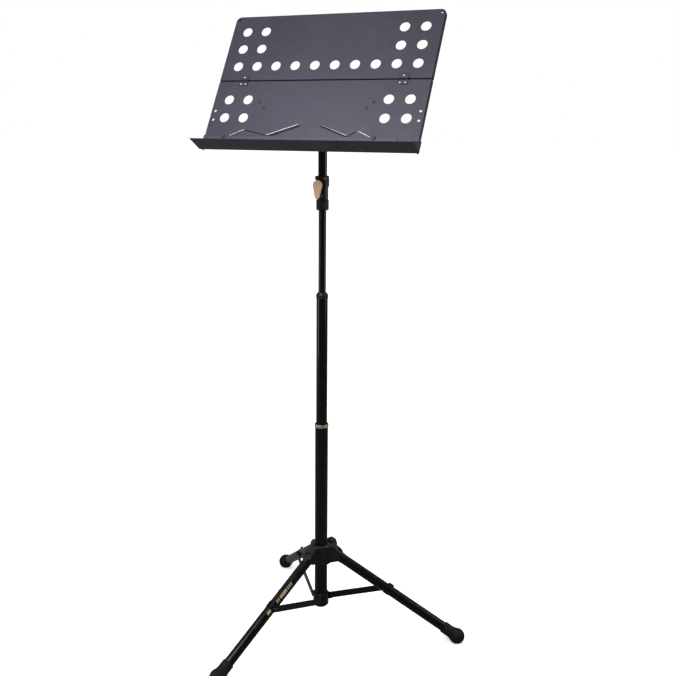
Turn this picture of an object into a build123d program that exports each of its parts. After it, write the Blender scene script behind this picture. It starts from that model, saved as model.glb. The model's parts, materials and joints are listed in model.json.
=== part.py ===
from build123d import *
import os
from math import cos, radians, sin, sqrt

# Folding music stand, millimetres. +Z is up, the floor is z = 0 and the mast stands on the Z axis.
# The reader stands on the -Y side, so the desk faces -Y and leans back.
# Station names that start with z_ are heights over the floor in the opened, extended pose.

# Desk: two folded sheet panels and a shelf
desk_width = 500.0
upper_height = 168.5
lower_height = 170.0
panel_gap = 2.0
panel_sheet = 1.0
flange_depth = 10.0
bend_radius = 1.2
top_corner_radius = 12.0
desk_tilt = 30.5
hole_diameter = 23.0
hole_columns = 10
column_pitch = 47.2
row_pitch = 45.0
upper_first_row = 37.0
lower_first_row = 48.0
corner_hole_diameter = 5.0
corner_hole_inset = 8.5
edge_hole_diameter = 6.0
edge_hole_rows = (76.0, 98.0)

# Shelf at the bottom of the desk
tray_sheet = 1.2
tray_depth = 44.0
tray_overhang = 5.0
tray_lip = 8.0
tray_lip_inset = 34.0
tray_upstand = 18.0
tray_cheek = 24.0
tray_rivet_spots = (80.0, 235.0)
tray_rivet_height = 8.0

# Front hinges between the two panels
hinge_centre = 188.0
hinge_width = 22.0
hinge_leaf = 13.0
hinge_sheet = 1.2
knuckle_radius = 2.2
knuckle_middle = 7.4
hinge_pin_radius = 1.2
hinge_axis_depth = 2.5

# Rivets of the desk
rivet_shank_radius = 1.6
rivet_head_radius = 3.0
rivet_head_height = 0.9

# Page retainers, bent wire. Each pair is (across the desk, up from the shelf).
wire_diameter = 3.0
retainer_pivot = (172.0, 5.0)
retainer_knee = (130.0, 25.0)
retainer_rest = (95.0, 32.0)
retainer_tip = (24.0, 59.0)
retainer_bend = 4.0
wire_stand_off = 2.5
wire_front_end = 3.4
washer_sheet = 0.8
washer_radius = 4.2

# Tilt joint behind the desk
z_tilt_pivot = 1250.0
pivot_behind_face = 32.5
pivot_below_divider = 34.1
tongue_thickness = 12.0
tongue_radius = 11.0
tilt_bolt_radius = 4.0
friction_washer = 1.0
friction_washer_radius = 10.0
cheek_sheet = 3.0
cheek_radius = 12.0
bracket_sheet = 2.0
bracket_rib = 7.0
wing_reach = 146.0
wing_low = 84.0
wing_high = 46.0
bracket_core = 30.0
bracket_top = 5.0
bracket_rivet_spots = ((120.0, 70.0), (134.0, 56.0))

# Rod, desk post and clutch. The rod sets the tubes that go round it.
rod_diameter = 17.0
rod_wall = 1.5
rod_in_sleeve = 60.0
post_play = 0.3
post_wall = 1.0
post_top_drop = 22.0
head_plug = 20.0
head_shoulder = 4.0
head_shoulder_ledge = 1.25
clutch_travel = 132.0
z_clutch_bottom = 1017.0
collar_height = 23.0
collar_wall = 5.5
housing_wall = 2.75
housing_height = 52.0
housing_floor = 2.5
housing_band = 2.0
housing_band_height = 24.0
plate_chamber = 19.0
plate_width = 3.0
plate_thickness = 2.0
plate_pitch = 6.0
spring_seat = 0.8
lever_azimuth = 262.0
lever_pin_radius = 1.5
lever_pin_rise = 8.0
lever_lug_radius = 3.8
lever_tail_radius = 3.4
lever_lug_sheet = 3.0
lever_tail_width = 8.0
lever_thickness = 3.4
lever_top_stand = 9.6
lever_foot_stand = 11.9
lever_top_width = 25.0
lever_foot_width = 12.0
hood_thickness = 8.0
hood_overhang = 7.5
hood_slope_run = 10.0
hood_slope_drop = 5.0

# Middle and lower tubes
sleeve_wall = 3.2
middle_wall = 1.2
z_middle_bottom = 370.0
z_middle_top = 826.0
ferrule_wall = 0.9
ferrule_height = 14.0
ferrule_lip = 6.0
guide_height = 20.0
bush_wall = 1.1
lower_wall = 1.2
z_lower_bottom = 60.0
z_lower_top = 519.0
bush_height = 40.0
bush_flange = 2.0
ring_height = 8.0
ring_thickness = 1.1
cap_plug = 14.0
cap_flange = 3.0

# Tripod
leg_azimuths = (11.6, 131.6, 251.6)
leg_names = ("right", "rear", "front")
leg_slope = 31.25
leg_pivot_stand = 22.9
leg_length = 335.0
leg_diameter = 23.0
leg_wall = 1.2
leg_start = 20.0
leg_bolt_radius = 3.0
plug_width = 13.0
plug_eye_radius = 11.0
plug_insert = 26.0
boot_overlap = 28.0
boot_neck_wall = 2.5
boot_collar = 4.0
boot_shoulder = 8.0
boot_bulb_radius = 18.5
boot_bulb_beyond = 10.0
bulb_height = 15.0
hub_wall = 8.0
hub_height = 46.0
fork_sheet = 5.0
fork_radius = 14.0
knob_azimuth = 72.5
knob_rise = 13.0
knob_radius = 15.5
knob_stand = 4.0
knob_length = 19.0
knob_stud_radius = 3.0
knob_boss_radius = 8.0
brace_distance = 149.0
brace_width = 15.0
brace_sheet = 2.5
brace_pin_radius = 2.0
brace_ring_gap = 0.8
z_brace_inner = 78.0
clip_sheet = 1.2
clip_width = 14.0
clip_ear = 5.0
bracket_ring_wall = 3.5
z_bracket_low = 62.0
z_bracket_high = 92.0
lug_sheet = 3.0
lug_radius = 7.5

# Fits
running = 0.06
gap = 0.3
wide_gap = 0.5

rod_radius = rod_diameter / 2
post_bore = rod_radius + post_play
post_radius = post_bore + post_wall
middle_bore = rod_radius + sleeve_wall
middle_radius = middle_bore + middle_wall
lower_bore = middle_radius + bush_wall
lower_radius = lower_bore + lower_wall
leg_radius = leg_diameter / 2
half_desk = desk_width / 2
wire_radius = wire_diameter / 2

up = Vector(0, sin(radians(desk_tilt)), cos(radians(desk_tilt)))
front = Vector(0, -cos(radians(desk_tilt)), sin(radians(desk_tilt)))
tilt_pivot = Vector(0, 0, z_tilt_pivot)
divider = tilt_pivot + front * pivot_behind_face + up * pivot_below_divider
# Sketches on desk_face read (across, up from the divider), and its normal points at the reader.
desk_face = Plane(origin=divider, x_dir=(1, 0, 0), z_dir=front)
# Sketches on desk_side read (out from the face, up from the divider).
desk_side = Plane(origin=divider, x_dir=front, z_dir=(-1, 0, 0))

os.makedirs("parts", exist_ok=True)


def save(piece, name):
    """Label a finished piece and write it as its own STEP file."""
    piece.part.label = name
    export_step(piece.part, f"parts/{name}.step")


def outward(azimuth):
    """Unit vector away from the mast at an azimuth in degrees."""
    return Vector(cos(radians(azimuth)), sin(radians(azimuth)), 0)


def radial_plane(azimuth, aside=0.0):
    """Vertical plane through the mast that reads (reach, height), moved aside to the leg's left."""
    return Plane(origin=(0, 0, 0), x_dir=outward(azimuth), z_dir=outward(azimuth - 90)).offset(-aside)


def turned(outline, origin=Vector(0, 0, 0), along=Vector(0, 0, 1), across=Vector(1, 0, 0)):
    """Solid turned about an axis from a closed outline of (radius, distance along the axis)."""
    with BuildPart() as piece:
        with BuildSketch(Plane(origin=origin, x_dir=across, z_dir=across.cross(along))):
            with BuildLine():
                Polyline(*outline, close=True)
            make_face()
        revolve(axis=Axis(origin, along))
    return piece


def tube(outer, inner, low, high):
    """Plain tube about the mast axis, from its two radii."""
    return turned([(inner, low), (outer, low), (outer, high), (inner, high)])


def rivet_row(plane, spots, head, grip, tail=rivet_head_height):
    """Separate rivets on a plane: a head of that height in front and a tail behind the gripped sheets."""
    with BuildPart() as rivets:
        for spot in spots:
            with BuildSketch(plane):
                with Locations(spot):
                    Circle(rivet_head_radius)
            extrude(amount=head, taper=25)
            with BuildSketch(plane):
                with Locations(spot):
                    Circle(rivet_shank_radius)
            extrude(amount=-grip)
            with BuildSketch(plane.offset(-grip)):
                with Locations(spot):
                    Circle(rivet_head_radius - 0.6)
            extrude(amount=-tail)
    return rivets


def both_sides(spots):
    """The same spots on the left and the right of the desk."""
    return [(side * across, rise) for side in (-1, 1) for across, rise in spots]


# ---------------------------------------------------------------- desk panels

column_places = [(i - (hole_columns - 1) / 2) * column_pitch for i in range(hole_columns)]
outer_columns = column_places[:2] + column_places[-2:]
upper_holes = [(x, upper_first_row) for x in column_places]
upper_holes += [(x, upper_first_row + row_pitch * row) for row in (1, 2) for x in outer_columns]
lower_holes = [(x, -lower_first_row - row_pitch * row) for row in (0, 1) for x in outer_columns]
corner_holes = both_sides([(half_desk - corner_hole_inset, upper_height - corner_hole_inset)])
edge_holes = both_sides([(half_desk - 10, -row) for row in edge_hole_rows])
tray_rivets_at = both_sides([(x, tray_rivet_height - lower_height) for x in tray_rivet_spots])
bracket_rivets_at = both_sides([(x, -drop) for x, drop in bracket_rivet_spots])
hinge_lower_rivets_at = both_sides([(hinge_centre + d, -hinge_leaf + 4.5) for d in (-6, 6)])
hinge_upper_rivets_at = both_sides([(hinge_centre, hinge_leaf - 4.5)])


def panel(low, high, top_corner, bottom_corner, holes, small_holes, open_bottom):
    """Shallow pan of folded sheet between two heights: a face with flanges turned to the rear."""
    with BuildPart() as pan:
        with BuildSketch(desk_face):
            with Locations((0, (low + high) / 2)):
                outline = Rectangle(desk_width, high - low)
            fillet(outline.vertices().group_by(Axis.Y)[-1], top_corner)
            if bottom_corner:
                fillet(outline.vertices().group_by(Axis.Y)[0], bottom_corner)
        extrude(amount=-flange_depth)
        face = pan.faces().sort_by(Axis(divider, front))[-1]
        fillet(face.edges(), bend_radius)
        floor = low - 1 if open_bottom else low + panel_sheet
        with BuildSketch(desk_face.offset(-panel_sheet)):
            with Locations((0, (floor + high - panel_sheet) / 2)):
                pocket = Rectangle(desk_width - 2 * panel_sheet, high - panel_sheet - floor)
            fillet(pocket.vertices().group_by(Axis.Y)[-1], max(top_corner - panel_sheet, 0.5))
        extrude(amount=-flange_depth, mode=Mode.SUBTRACT)
        with BuildSketch(desk_face):
            with Locations(*holes):
                Circle(hole_diameter / 2)
            for spot, radius in small_holes:
                with Locations(spot):
                    Circle(radius)
        extrude(amount=-2 * panel_sheet, mode=Mode.SUBTRACT)
    return pan


upper_small = [(spot, corner_hole_diameter / 2) for spot in corner_holes]
upper_small += [(spot, rivet_shank_radius) for spot in hinge_upper_rivets_at]
upper_panel = panel(panel_gap / 2, upper_height, top_corner_radius, 2, upper_holes, upper_small, False)
save(upper_panel, "upper_panel")

lower_small = [(spot, edge_hole_diameter / 2) for spot in edge_holes]
lower_small += [(spot, rivet_shank_radius) for spot in tray_rivets_at + bracket_rivets_at]
lower_small += [(spot, rivet_shank_radius) for spot in hinge_lower_rivets_at]
lower_panel = panel(-lower_height, -panel_gap / 2, 2, 0, lower_holes, lower_small, True)
save(lower_panel, "lower_panel")

# ---------------------------------------------------------------- shelf

shelf_top = -lower_height
shelf_half = half_desk + tray_overhang
upstand_half = half_desk - panel_sheet - gap
upstand_rear = -panel_sheet - tray_sheet

with BuildPart() as tray:
    with BuildSketch(desk_side):
        with BuildLine():
            Polyline(
                (upstand_rear, shelf_top - tray_sheet),
                (tray_depth, shelf_top - tray_sheet),
                (tray_depth, shelf_top),
                (upstand_rear, shelf_top),
                close=True,
            )
        make_face()
    extrude(amount=shelf_half, both=True)
    with BuildSketch(desk_side):
        with Locations((tray_depth - tray_sheet, shelf_top - tray_sheet)):
            Rectangle(tray_sheet, tray_sheet + tray_lip, align=(Align.MIN, Align.MIN))
    extrude(amount=shelf_half - tray_lip_inset, both=True)
    with BuildSketch(desk_side):
        with Locations((upstand_rear, shelf_top)):
            Rectangle(tray_sheet, tray_upstand, align=(Align.MIN, Align.MIN))
    extrude(amount=upstand_half, both=True)
    for side in (-1, 1):
        with BuildSketch(desk_side.offset(side * (shelf_half - tray_sheet / 2))):
            with BuildLine():
                Polyline(
                    (upstand_rear, shelf_top - tray_sheet),
                    (tray_depth, shelf_top - tray_sheet),
                    (tray_depth, shelf_top),
                    (1.0, shelf_top + tray_cheek),
                    (upstand_rear, shelf_top + tray_cheek),
                    close=True,
                )
            make_face()
        extrude(amount=tray_sheet / 2, both=True)
    with BuildSketch(desk_face):
        with Locations(*tray_rivets_at):
            Circle(rivet_shank_radius)
    extrude(amount=-flange_depth, mode=Mode.SUBTRACT)
    with BuildSketch(desk_face.offset(tray_depth)):
        with Locations(*both_sides([(retainer_pivot[0], shelf_top + retainer_pivot[1])])):
            Circle(wire_radius + running)
    extrude(amount=-2 * tray_sheet, mode=Mode.SUBTRACT)
save(tray, "tray")

tray_rivets = rivet_row(desk_face, tray_rivets_at, rivet_head_height, panel_sheet + tray_sheet)
save(tray_rivets, "tray_rivets")

# ---------------------------------------------------------------- front hinges

hinge_axis = Plane(origin=divider + front * hinge_axis_depth, x_dir=front, z_dir=(-1, 0, 0))
knuckle_side = (hinge_width - knuckle_middle) / 2 - gap


def hinge_leaves(direction, spans, rivets):
    """The two leaves on one panel: a plate on the face and its rolled knuckles about the hinge axis."""
    clear = knuckle_radius + wide_gap
    with BuildPart() as leaves:
        for side in (-1, 1):
            with BuildSketch(desk_face):
                with Locations((side * hinge_centre, direction * (clear + hinge_leaf) / 2)):
                    Rectangle(hinge_width, hinge_leaf - clear)
            extrude(amount=hinge_sheet)
            for start, end in spans:
                middle = -side * hinge_centre - (start + end) / 2
                with BuildSketch(hinge_axis.offset(middle)):
                    Circle(knuckle_radius)
                    with Locations((-hinge_axis_depth, 0)):
                        low_edge = Align.MIN if direction > 0 else Align.MAX
                        Rectangle(hinge_sheet, clear + 1, align=(Align.MIN, low_edge))
                extrude(amount=(end - start) / 2, both=True)
            with BuildSketch(hinge_axis.offset(-side * hinge_centre)):
                Circle(hinge_pin_radius + (running if direction > 0 else 0))
            extrude(amount=hinge_width, both=True, mode=Mode.SUBTRACT)
        with BuildSketch(desk_face):
            with Locations(*rivets):
                Circle(rivet_shank_radius)
        extrude(amount=hinge_sheet, mode=Mode.SUBTRACT)
    return leaves


outer_spans = [
    (-hinge_width / 2, -hinge_width / 2 + knuckle_side),
    (hinge_width / 2 - knuckle_side, hinge_width / 2),
]
hinge_lower_leaves = hinge_leaves(-1, outer_spans, hinge_lower_rivets_at)
save(hinge_lower_leaves, "hinge_lower_leaves")
middle_span = [(-knuckle_middle / 2, knuckle_middle / 2)]
hinge_upper_leaves = hinge_leaves(1, middle_span, hinge_upper_rivets_at)
save(hinge_upper_leaves, "hinge_upper_leaves")

with BuildPart() as hinge_pins:
    for side in (-1, 1):
        with BuildSketch(hinge_axis.offset(side * hinge_centre)):
            Circle(hinge_pin_radius)
        extrude(amount=hinge_width / 2, both=True)
save(hinge_pins, "hinge_pins")

leaf_front = desk_face.offset(hinge_sheet)
hinge_grip = hinge_sheet + panel_sheet
hinge_lower_rivets = rivet_row(leaf_front, hinge_lower_rivets_at, rivet_head_height, hinge_grip)
save(hinge_lower_rivets, "hinge_lower_rivets")
hinge_upper_rivets = rivet_row(leaf_front, hinge_upper_rivets_at, rivet_head_height, hinge_grip)
save(hinge_upper_rivets, "hinge_upper_rivets")

# ---------------------------------------------------------------- page retainers

wire_depth = wire_radius + wire_stand_off
retainer_run = tray_depth - tray_sheet - retainer_bend - gap


def page_retainer(side):
    """Bent wire that turns in the shelf's lip and lies over the page, mirrored by side."""

    def at(pair, depth):
        across, rise = pair
        return divider + Vector(side * across, 0, 0) + up * (shelf_top + rise) + front * depth

    outer_end = at(retainer_pivot, tray_depth + washer_sheet + wire_front_end)
    with BuildPart() as retainer:
        with BuildLine() as route:
            FilletPolyline(
                outer_end,
                at(retainer_pivot, retainer_run),
                at(retainer_knee, retainer_run),
                at(retainer_rest, wire_depth),
                at(retainer_tip, wire_depth),
                radius=retainer_bend,
            )
        with BuildSketch(Plane(origin=route.line @ 0, z_dir=route.line % 0)):
            Circle(wire_radius)
        sweep()
    return retainer


def retainer_washer(side):
    """Push-on washer that keeps the wire in the lip."""
    along = divider + up * (shelf_top + retainer_pivot[1]) + front * (tray_depth + gap)
    origin = along + Vector(side * retainer_pivot[0], 0, 0)
    low, high = wire_radius, washer_radius
    outline = [(low, 0), (high, 0), (high - 0.6, washer_sheet), (low, 1.8 * washer_sheet)]
    return turned(outline, origin, front)


for side, name in ((-1, "left"), (1, "right")):
    save(page_retainer(side), f"page_retainer_{name}")
    save(retainer_washer(side), f"retainer_washer_{name}")

# ---------------------------------------------------------------- tilt bracket

cheek_inner = tongue_thickness / 2 + friction_washer + 2 * running
cheek_outer = cheek_inner + cheek_sheet
pivot_in_side = (-pivot_behind_face, -pivot_below_divider)
plate_rear = -panel_sheet - bracket_sheet

with BuildPart() as desk_bracket:
    with BuildSketch(desk_face.offset(-panel_sheet)):
        with Locations((0, -(wing_low + bracket_top) / 2)):
            Rectangle(2 * bracket_core, wing_low - bracket_top)
        with Locations((0, -(wing_low + wing_high) / 2)):
            Rectangle(2 * wing_reach, wing_low - wing_high)
        with Locations(*bracket_rivets_at):
            Circle(rivet_shank_radius, mode=Mode.SUBTRACT)
    extrude(amount=-bracket_sheet)
    for height, reach in ((-wing_low, wing_reach), (-wing_high - bracket_sheet, wing_reach)):
        with BuildSketch(desk_side):
            with Locations((plate_rear, height)):
                Rectangle(bracket_rib - bracket_sheet, bracket_sheet, align=(Align.MAX, Align.MIN))
        extrude(amount=reach, both=True)
    for side in (-1, 1):
        with BuildSketch(desk_side.offset(side * (cheek_inner + cheek_outer) / 2)):
            with Locations(pivot_in_side):
                Circle(cheek_radius)
            with Locations((plate_rear, -bracket_top)):
                Rectangle(1.0, wing_high, align=(Align.MAX, Align.MAX))
            make_hull()
        extrude(amount=cheek_sheet / 2, both=True)
    with BuildSketch(desk_side):
        with Locations(pivot_in_side):
            Circle(tilt_bolt_radius)
    extrude(amount=2 * cheek_outer, both=True, mode=Mode.SUBTRACT)
    with BuildSketch(desk_side):
        with Locations(pivot_in_side):
            Circle(tongue_radius + 3)
    extrude(amount=cheek_inner, both=True, mode=Mode.SUBTRACT)
save(desk_bracket, "desk_bracket")

bracket_grip = panel_sheet + bracket_sheet
bracket_rivets = rivet_row(desk_face, bracket_rivets_at, rivet_head_height, bracket_grip)
save(bracket_rivets, "bracket_rivets")

with BuildPart() as tilt_washers:
    for side in (-1, 1):
        start = tongue_thickness / 2 + running
        with BuildSketch(desk_side.offset(side * (start + friction_washer / 2))):
            with Locations(pivot_in_side):
                Circle(friction_washer_radius)
                Circle(tilt_bolt_radius, mode=Mode.SUBTRACT)
        extrude(amount=friction_washer / 2, both=True)
save(tilt_washers, "tilt_washers")

with BuildPart() as tilt_bolt:
    with BuildSketch(desk_side):
        with Locations(pivot_in_side):
            Circle(tilt_bolt_radius)
    extrude(amount=cheek_outer + 9, both=True)
    with BuildSketch(desk_side.offset(cheek_outer)):
        with Locations(pivot_in_side):
            Circle(7.5)
    extrude(amount=5)
    chamfer(tilt_bolt.faces().sort_by(Axis.X)[0].edges(), 0.8)
    split(bisect_by=Plane.YZ.offset(-cheek_outer - 5), keep=Keep.TOP)
save(tilt_bolt, "tilt_bolt")

with BuildPart() as tilt_nut:
    with BuildSketch(desk_side.offset(-cheek_outer)):
        with Locations(pivot_in_side):
            RegularPolygon(7.5, 6)
            Circle(tilt_bolt_radius, mode=Mode.SUBTRACT)
    extrude(amount=-7)
save(tilt_nut, "tilt_nut")

# ---------------------------------------------------------------- desk post and its head

z_post_top = z_tilt_pivot - post_top_drop
z_ceiling = z_post_top - head_plug
z_clutch_top = z_clutch_bottom + collar_height + wide_gap + housing_height
z_housing = z_clutch_bottom + collar_height + wide_gap
z_post_bottom = z_housing + housing_floor + plate_chamber

desk_post = tube(post_radius, post_bore, z_post_bottom, z_post_top)
save(desk_post, "desk_post")

with BuildPart() as tilt_head:
    with BuildSketch(Plane.XY.offset(z_ceiling)):
        Circle(post_bore)
    extrude(amount=head_plug)
    with BuildSketch(Plane.XY.offset(z_post_top)):
        Circle(post_radius + head_shoulder_ledge)
    extrude(amount=head_shoulder)
    fillet(tilt_head.edges().filter_by(GeomType.CIRCLE).group_by(Axis.Z)[-1], 1.2)
    with BuildSketch(Plane.YZ):
        with Locations((0, z_tilt_pivot)):
            Circle(tongue_radius)
        with Locations((0, z_post_top + head_shoulder - 1)):
            Rectangle(1.7 * tongue_radius, 1, align=(Align.CENTER, Align.MIN))
        make_hull()
    extrude(amount=tongue_thickness / 2, both=True)
    with BuildSketch(Plane.YZ):
        with Locations((0, z_tilt_pivot)):
            Circle(tilt_bolt_radius + running)
    extrude(amount=tongue_thickness, both=True, mode=Mode.SUBTRACT)
save(tilt_head, "tilt_head")

# ---------------------------------------------------------------- clutch

rod_bore = rod_radius + running
collar_radius = rod_radius + collar_wall
grip_collar = turned(
    [
        (rod_bore, z_clutch_bottom),
        (collar_radius - 2.5, z_clutch_bottom),
        (collar_radius, z_clutch_bottom + 2.5),
        (collar_radius, z_clutch_bottom + collar_height - 1),
        (collar_radius - 1, z_clutch_bottom + collar_height),
        (rod_bore, z_clutch_bottom + collar_height),
    ]
)
save(grip_collar, "grip_collar")

housing_radius = post_radius + housing_wall
hood_reach = housing_radius + hood_overhang
lever_top_reach = housing_radius + lever_top_stand
lever_foot_reach = housing_radius + lever_foot_stand
lever_pin_reach = housing_radius + wide_gap + lever_tail_radius
z_lever_pin = z_housing + lever_pin_rise
z_lever_top = z_clutch_top - hood_thickness - 1.0
z_lever_foot = z_housing + 2.0
lug_inner = lever_tail_width / 2 + gap
lever_side = radial_plane(lever_azimuth)
lever_out = outward(lever_azimuth)
# Sketches on lever_front read (across, height), and its normal points away from the post.
lever_front = Plane(origin=(0, 0, 0), x_dir=outward(lever_azimuth + 90), z_dir=lever_out)

with BuildPart() as clutch_housing:
    with BuildSketch(Plane.XY.offset(z_housing)):
        Circle(housing_radius)
    extrude(amount=housing_height)
    with BuildSketch(Plane.XY.offset(z_clutch_top - housing_band_height)):
        Circle(housing_radius + housing_band)
    extrude(amount=housing_band_height)
    with BuildSketch(Plane.XY.offset(z_clutch_top - hood_thickness)):
        Circle(housing_radius + housing_band)
        with Locations(lever_out * (hood_reach - housing_radius)):
            Circle(housing_radius)
        make_hull()
    extrude(amount=hood_thickness)
    fillet(clutch_housing.faces().sort_by(Axis.Z)[-1].edges(), 3.0)
    with BuildSketch(lever_side):
        with BuildLine():
            Polyline(
                (hood_reach - 1.2 * hood_slope_run, z_clutch_top + 0.2 * hood_slope_drop),
                (hood_reach + 0.2 * hood_slope_run, z_clutch_top + 0.2 * hood_slope_drop),
                (hood_reach + 0.2 * hood_slope_run, z_clutch_top - 1.2 * hood_slope_drop),
                close=True,
            )
        make_face()
    extrude(amount=2 * housing_radius, both=True, mode=Mode.SUBTRACT)
    for side in (-1, 1):
        with BuildSketch(lever_side.offset(side * (lug_inner + lever_lug_sheet / 2))):
            with Locations((lever_pin_reach, z_lever_pin)):
                Circle(lever_lug_radius)
            with Locations((housing_radius - 4, z_lever_pin)):
                Rectangle(2, 2.6 * lever_lug_radius)
            make_hull()
        extrude(amount=lever_lug_sheet / 2, both=True)
    with BuildSketch(lever_side):
        with Locations((lever_pin_reach, z_lever_pin)):
            Circle(lever_pin_radius)
    extrude(amount=housing_radius, both=True, mode=Mode.SUBTRACT)
    for low, high, radius in (
        (z_housing, z_clutch_top, rod_radius + gap),
        (z_housing + housing_floor, z_post_bottom, rod_radius + plate_width),
        (z_post_bottom, z_clutch_top, post_radius),
    ):
        with BuildSketch(Plane.XY.offset(low)):
            Circle(radius)
        extrude(amount=high - low, mode=Mode.SUBTRACT)
save(clutch_housing, "clutch_housing")

z_plates = [z_housing + housing_floor + plate_thickness + plate_pitch * count for count in range(3)]
plate_radius = rod_radius + plate_width - gap

with BuildPart() as locking_plates:
    for z_plate in z_plates:
        with BuildSketch(Plane.XY.offset(z_plate)):
            Circle(plate_radius)
            Circle(rod_bore, mode=Mode.SUBTRACT)
        extrude(amount=plate_thickness)
save(locking_plates, "locking_plates")

# Disc springs between the plates: each is a cone that stands on the lower plate with its rim.
with BuildPart() as plate_springs:
    for z_plate in z_plates[:-1]:
        low = z_plate + plate_thickness
        high = z_plate + plate_pitch
        with BuildSketch(Plane.XZ):
            with BuildLine():
                Polyline(
                    (plate_radius - spring_seat, low),
                    (plate_radius, low),
                    (rod_radius + gap + spring_seat, high),
                    (rod_radius + gap, high),
                    close=True,
                )
            make_face()
        revolve(axis=Axis.Z)
save(plate_springs, "plate_springs")

with BuildPart() as trigger_pin:
    with BuildSketch(lever_side):
        with Locations((lever_pin_reach, z_lever_pin)):
            Circle(lever_pin_radius)
    extrude(amount=lug_inner + lever_lug_sheet, both=True)
save(trigger_pin, "trigger_pin")

with BuildPart() as clutch_trigger:
    with BuildSketch(lever_side):
        with BuildLine():
            Polyline(
                (lever_foot_reach, z_lever_foot),
                (lever_top_reach, z_lever_top),
                (lever_top_reach - lever_thickness, z_lever_top),
                (lever_foot_reach - lever_thickness, z_lever_foot),
                close=True,
            )
        make_face()
    extrude(amount=lever_top_width / 2, both=True)
    with BuildSketch(lever_front):
        crown = lever_top_width / 2
        with Locations((0, z_lever_top - crown)):
            Circle(crown)
        with Locations((0, z_lever_foot + lever_foot_width / 2)):
            Circle(lever_foot_width / 2)
        make_hull()
    extrude(amount=2 * lever_foot_reach, mode=Mode.INTERSECT)
    outer_face = clutch_trigger.faces().filter_by(GeomType.PLANE).sort_by(Axis((0, 0, 0), lever_out))[-1]
    fillet(outer_face.edges(), 1.2)
    with BuildSketch(lever_side):
        with Locations((lever_pin_reach, z_lever_pin)):
            Circle(lever_tail_radius)
        with Locations((lever_foot_reach - lever_thickness, z_lever_pin)):
            Rectangle(1.6, 2 * lever_lug_radius)
        make_hull()
    extrude(amount=lever_tail_width / 2, both=True)
    with BuildSketch(lever_side):
        with Locations((lever_pin_reach, z_lever_pin)):
            Circle(lever_pin_radius + running)
    extrude(amount=lever_tail_width, both=True, mode=Mode.SUBTRACT)
save(clutch_trigger, "clutch_trigger")

# ---------------------------------------------------------------- rod and middle tube

z_rod_top = z_ceiling - clutch_travel - 3.0
z_rod_bottom = z_middle_top - rod_in_sleeve

inner_rod = tube(rod_radius, rod_radius - rod_wall, z_rod_bottom, z_rod_top)
save(inner_rod, "inner_rod")

rod_tip_guide = turned(
    [
        (0, z_rod_top - 10),
        (rod_radius - rod_wall, z_rod_top - 10),
        (rod_radius - rod_wall, z_rod_top),
        (post_bore - running, z_rod_top),
        (post_bore - running, z_rod_top + 2),
        (post_bore - 1, z_rod_top + 2.8),
        (0, z_rod_top + 2.8),
    ]
)
save(rod_tip_guide, "rod_tip_guide")

middle_tube = tube(middle_radius, middle_bore, z_middle_bottom, z_middle_top)
save(middle_tube, "middle_tube")

rod_sleeve = tube(middle_bore, rod_radius, z_rod_bottom, z_middle_top)
save(rod_sleeve, "rod_sleeve")

z_ferrule_top = z_middle_top + ferrule_lip
ferrule_radius = middle_radius + ferrule_wall
step_ferrule = turned(
    [
        (middle_radius, z_ferrule_top - ferrule_height),
        (ferrule_radius, z_ferrule_top - ferrule_height),
        (ferrule_radius, z_middle_top),
        (ferrule_radius - 1.2, z_middle_top + 2),
        (rod_radius + 1.2, z_ferrule_top),
        (rod_radius, z_ferrule_top),
        (rod_radius, z_middle_top),
        (middle_radius, z_middle_top),
    ]
)
save(step_ferrule, "step_ferrule")

middle_guide = turned(
    [
        (middle_radius, z_middle_bottom),
        (lower_bore - running - 1, z_middle_bottom),
        (lower_bore - running, z_middle_bottom + 1.5),
        (lower_bore - running, z_middle_bottom + guide_height),
        (middle_radius, z_middle_bottom + guide_height),
    ]
)
save(middle_guide, "middle_guide")

# ---------------------------------------------------------------- lower tube

lower_tube = tube(lower_radius, lower_bore, z_lower_bottom, z_lower_top)
save(lower_tube, "lower_tube")

bush_bore = middle_radius + running
lower_bush = turned(
    [
        (bush_bore, z_lower_top - bush_height),
        (lower_bore, z_lower_top - bush_height),
        (lower_bore, z_lower_top),
        (lower_radius, z_lower_top),
        (lower_radius, z_lower_top + bush_flange),
        (bush_bore + 0.8, z_lower_top + bush_flange),
        (bush_bore, z_lower_top + bush_flange - 0.8),
    ]
)
save(lower_bush, "lower_bush")

z_ring_top = z_lower_top + bush_flange
accent_ring = turned(
    [
        (lower_radius, z_ring_top - ring_height),
        (lower_radius + ring_thickness - 0.6, z_ring_top - ring_height),
        (lower_radius + ring_thickness, z_ring_top - ring_height + 0.6),
        (lower_radius + ring_thickness, z_ring_top - 0.6),
        (lower_radius + ring_thickness - 0.6, z_ring_top),
        (lower_radius, z_ring_top),
    ]
)
save(accent_ring, "accent_ring")

tube_end_cap = turned(
    [
        (0, z_lower_bottom - cap_flange),
        (lower_radius - 1.5, z_lower_bottom - cap_flange),
        (lower_radius, z_lower_bottom - cap_flange + 1.5),
        (lower_radius, z_lower_bottom),
        (lower_bore, z_lower_bottom),
        (lower_bore, z_lower_bottom + cap_plug),
        (lower_bore - 2, z_lower_bottom + cap_plug),
        (lower_bore - 2, z_lower_bottom),
        (0, z_lower_bottom),
    ]
)
save(tube_end_cap, "tube_end_cap")

# ---------------------------------------------------------------- leg hub

fork_inner = plug_width / 2 + gap
fork_outer = fork_inner + fork_sheet
hub_radius = lower_radius + hub_wall
leg_pivot_reach = lower_radius + leg_pivot_stand
boot_start = leg_length - boot_overlap
boot_bulb_distance = leg_length + boot_bulb_beyond
z_leg_pivot = bulb_height + boot_bulb_distance * sin(radians(leg_slope))
z_hub_bottom = z_leg_pivot - hub_height / 2
z_hub_top = z_leg_pivot + hub_height / 2
z_knob = z_leg_pivot + knob_rise
knob_start = hub_radius + knob_stand

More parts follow.
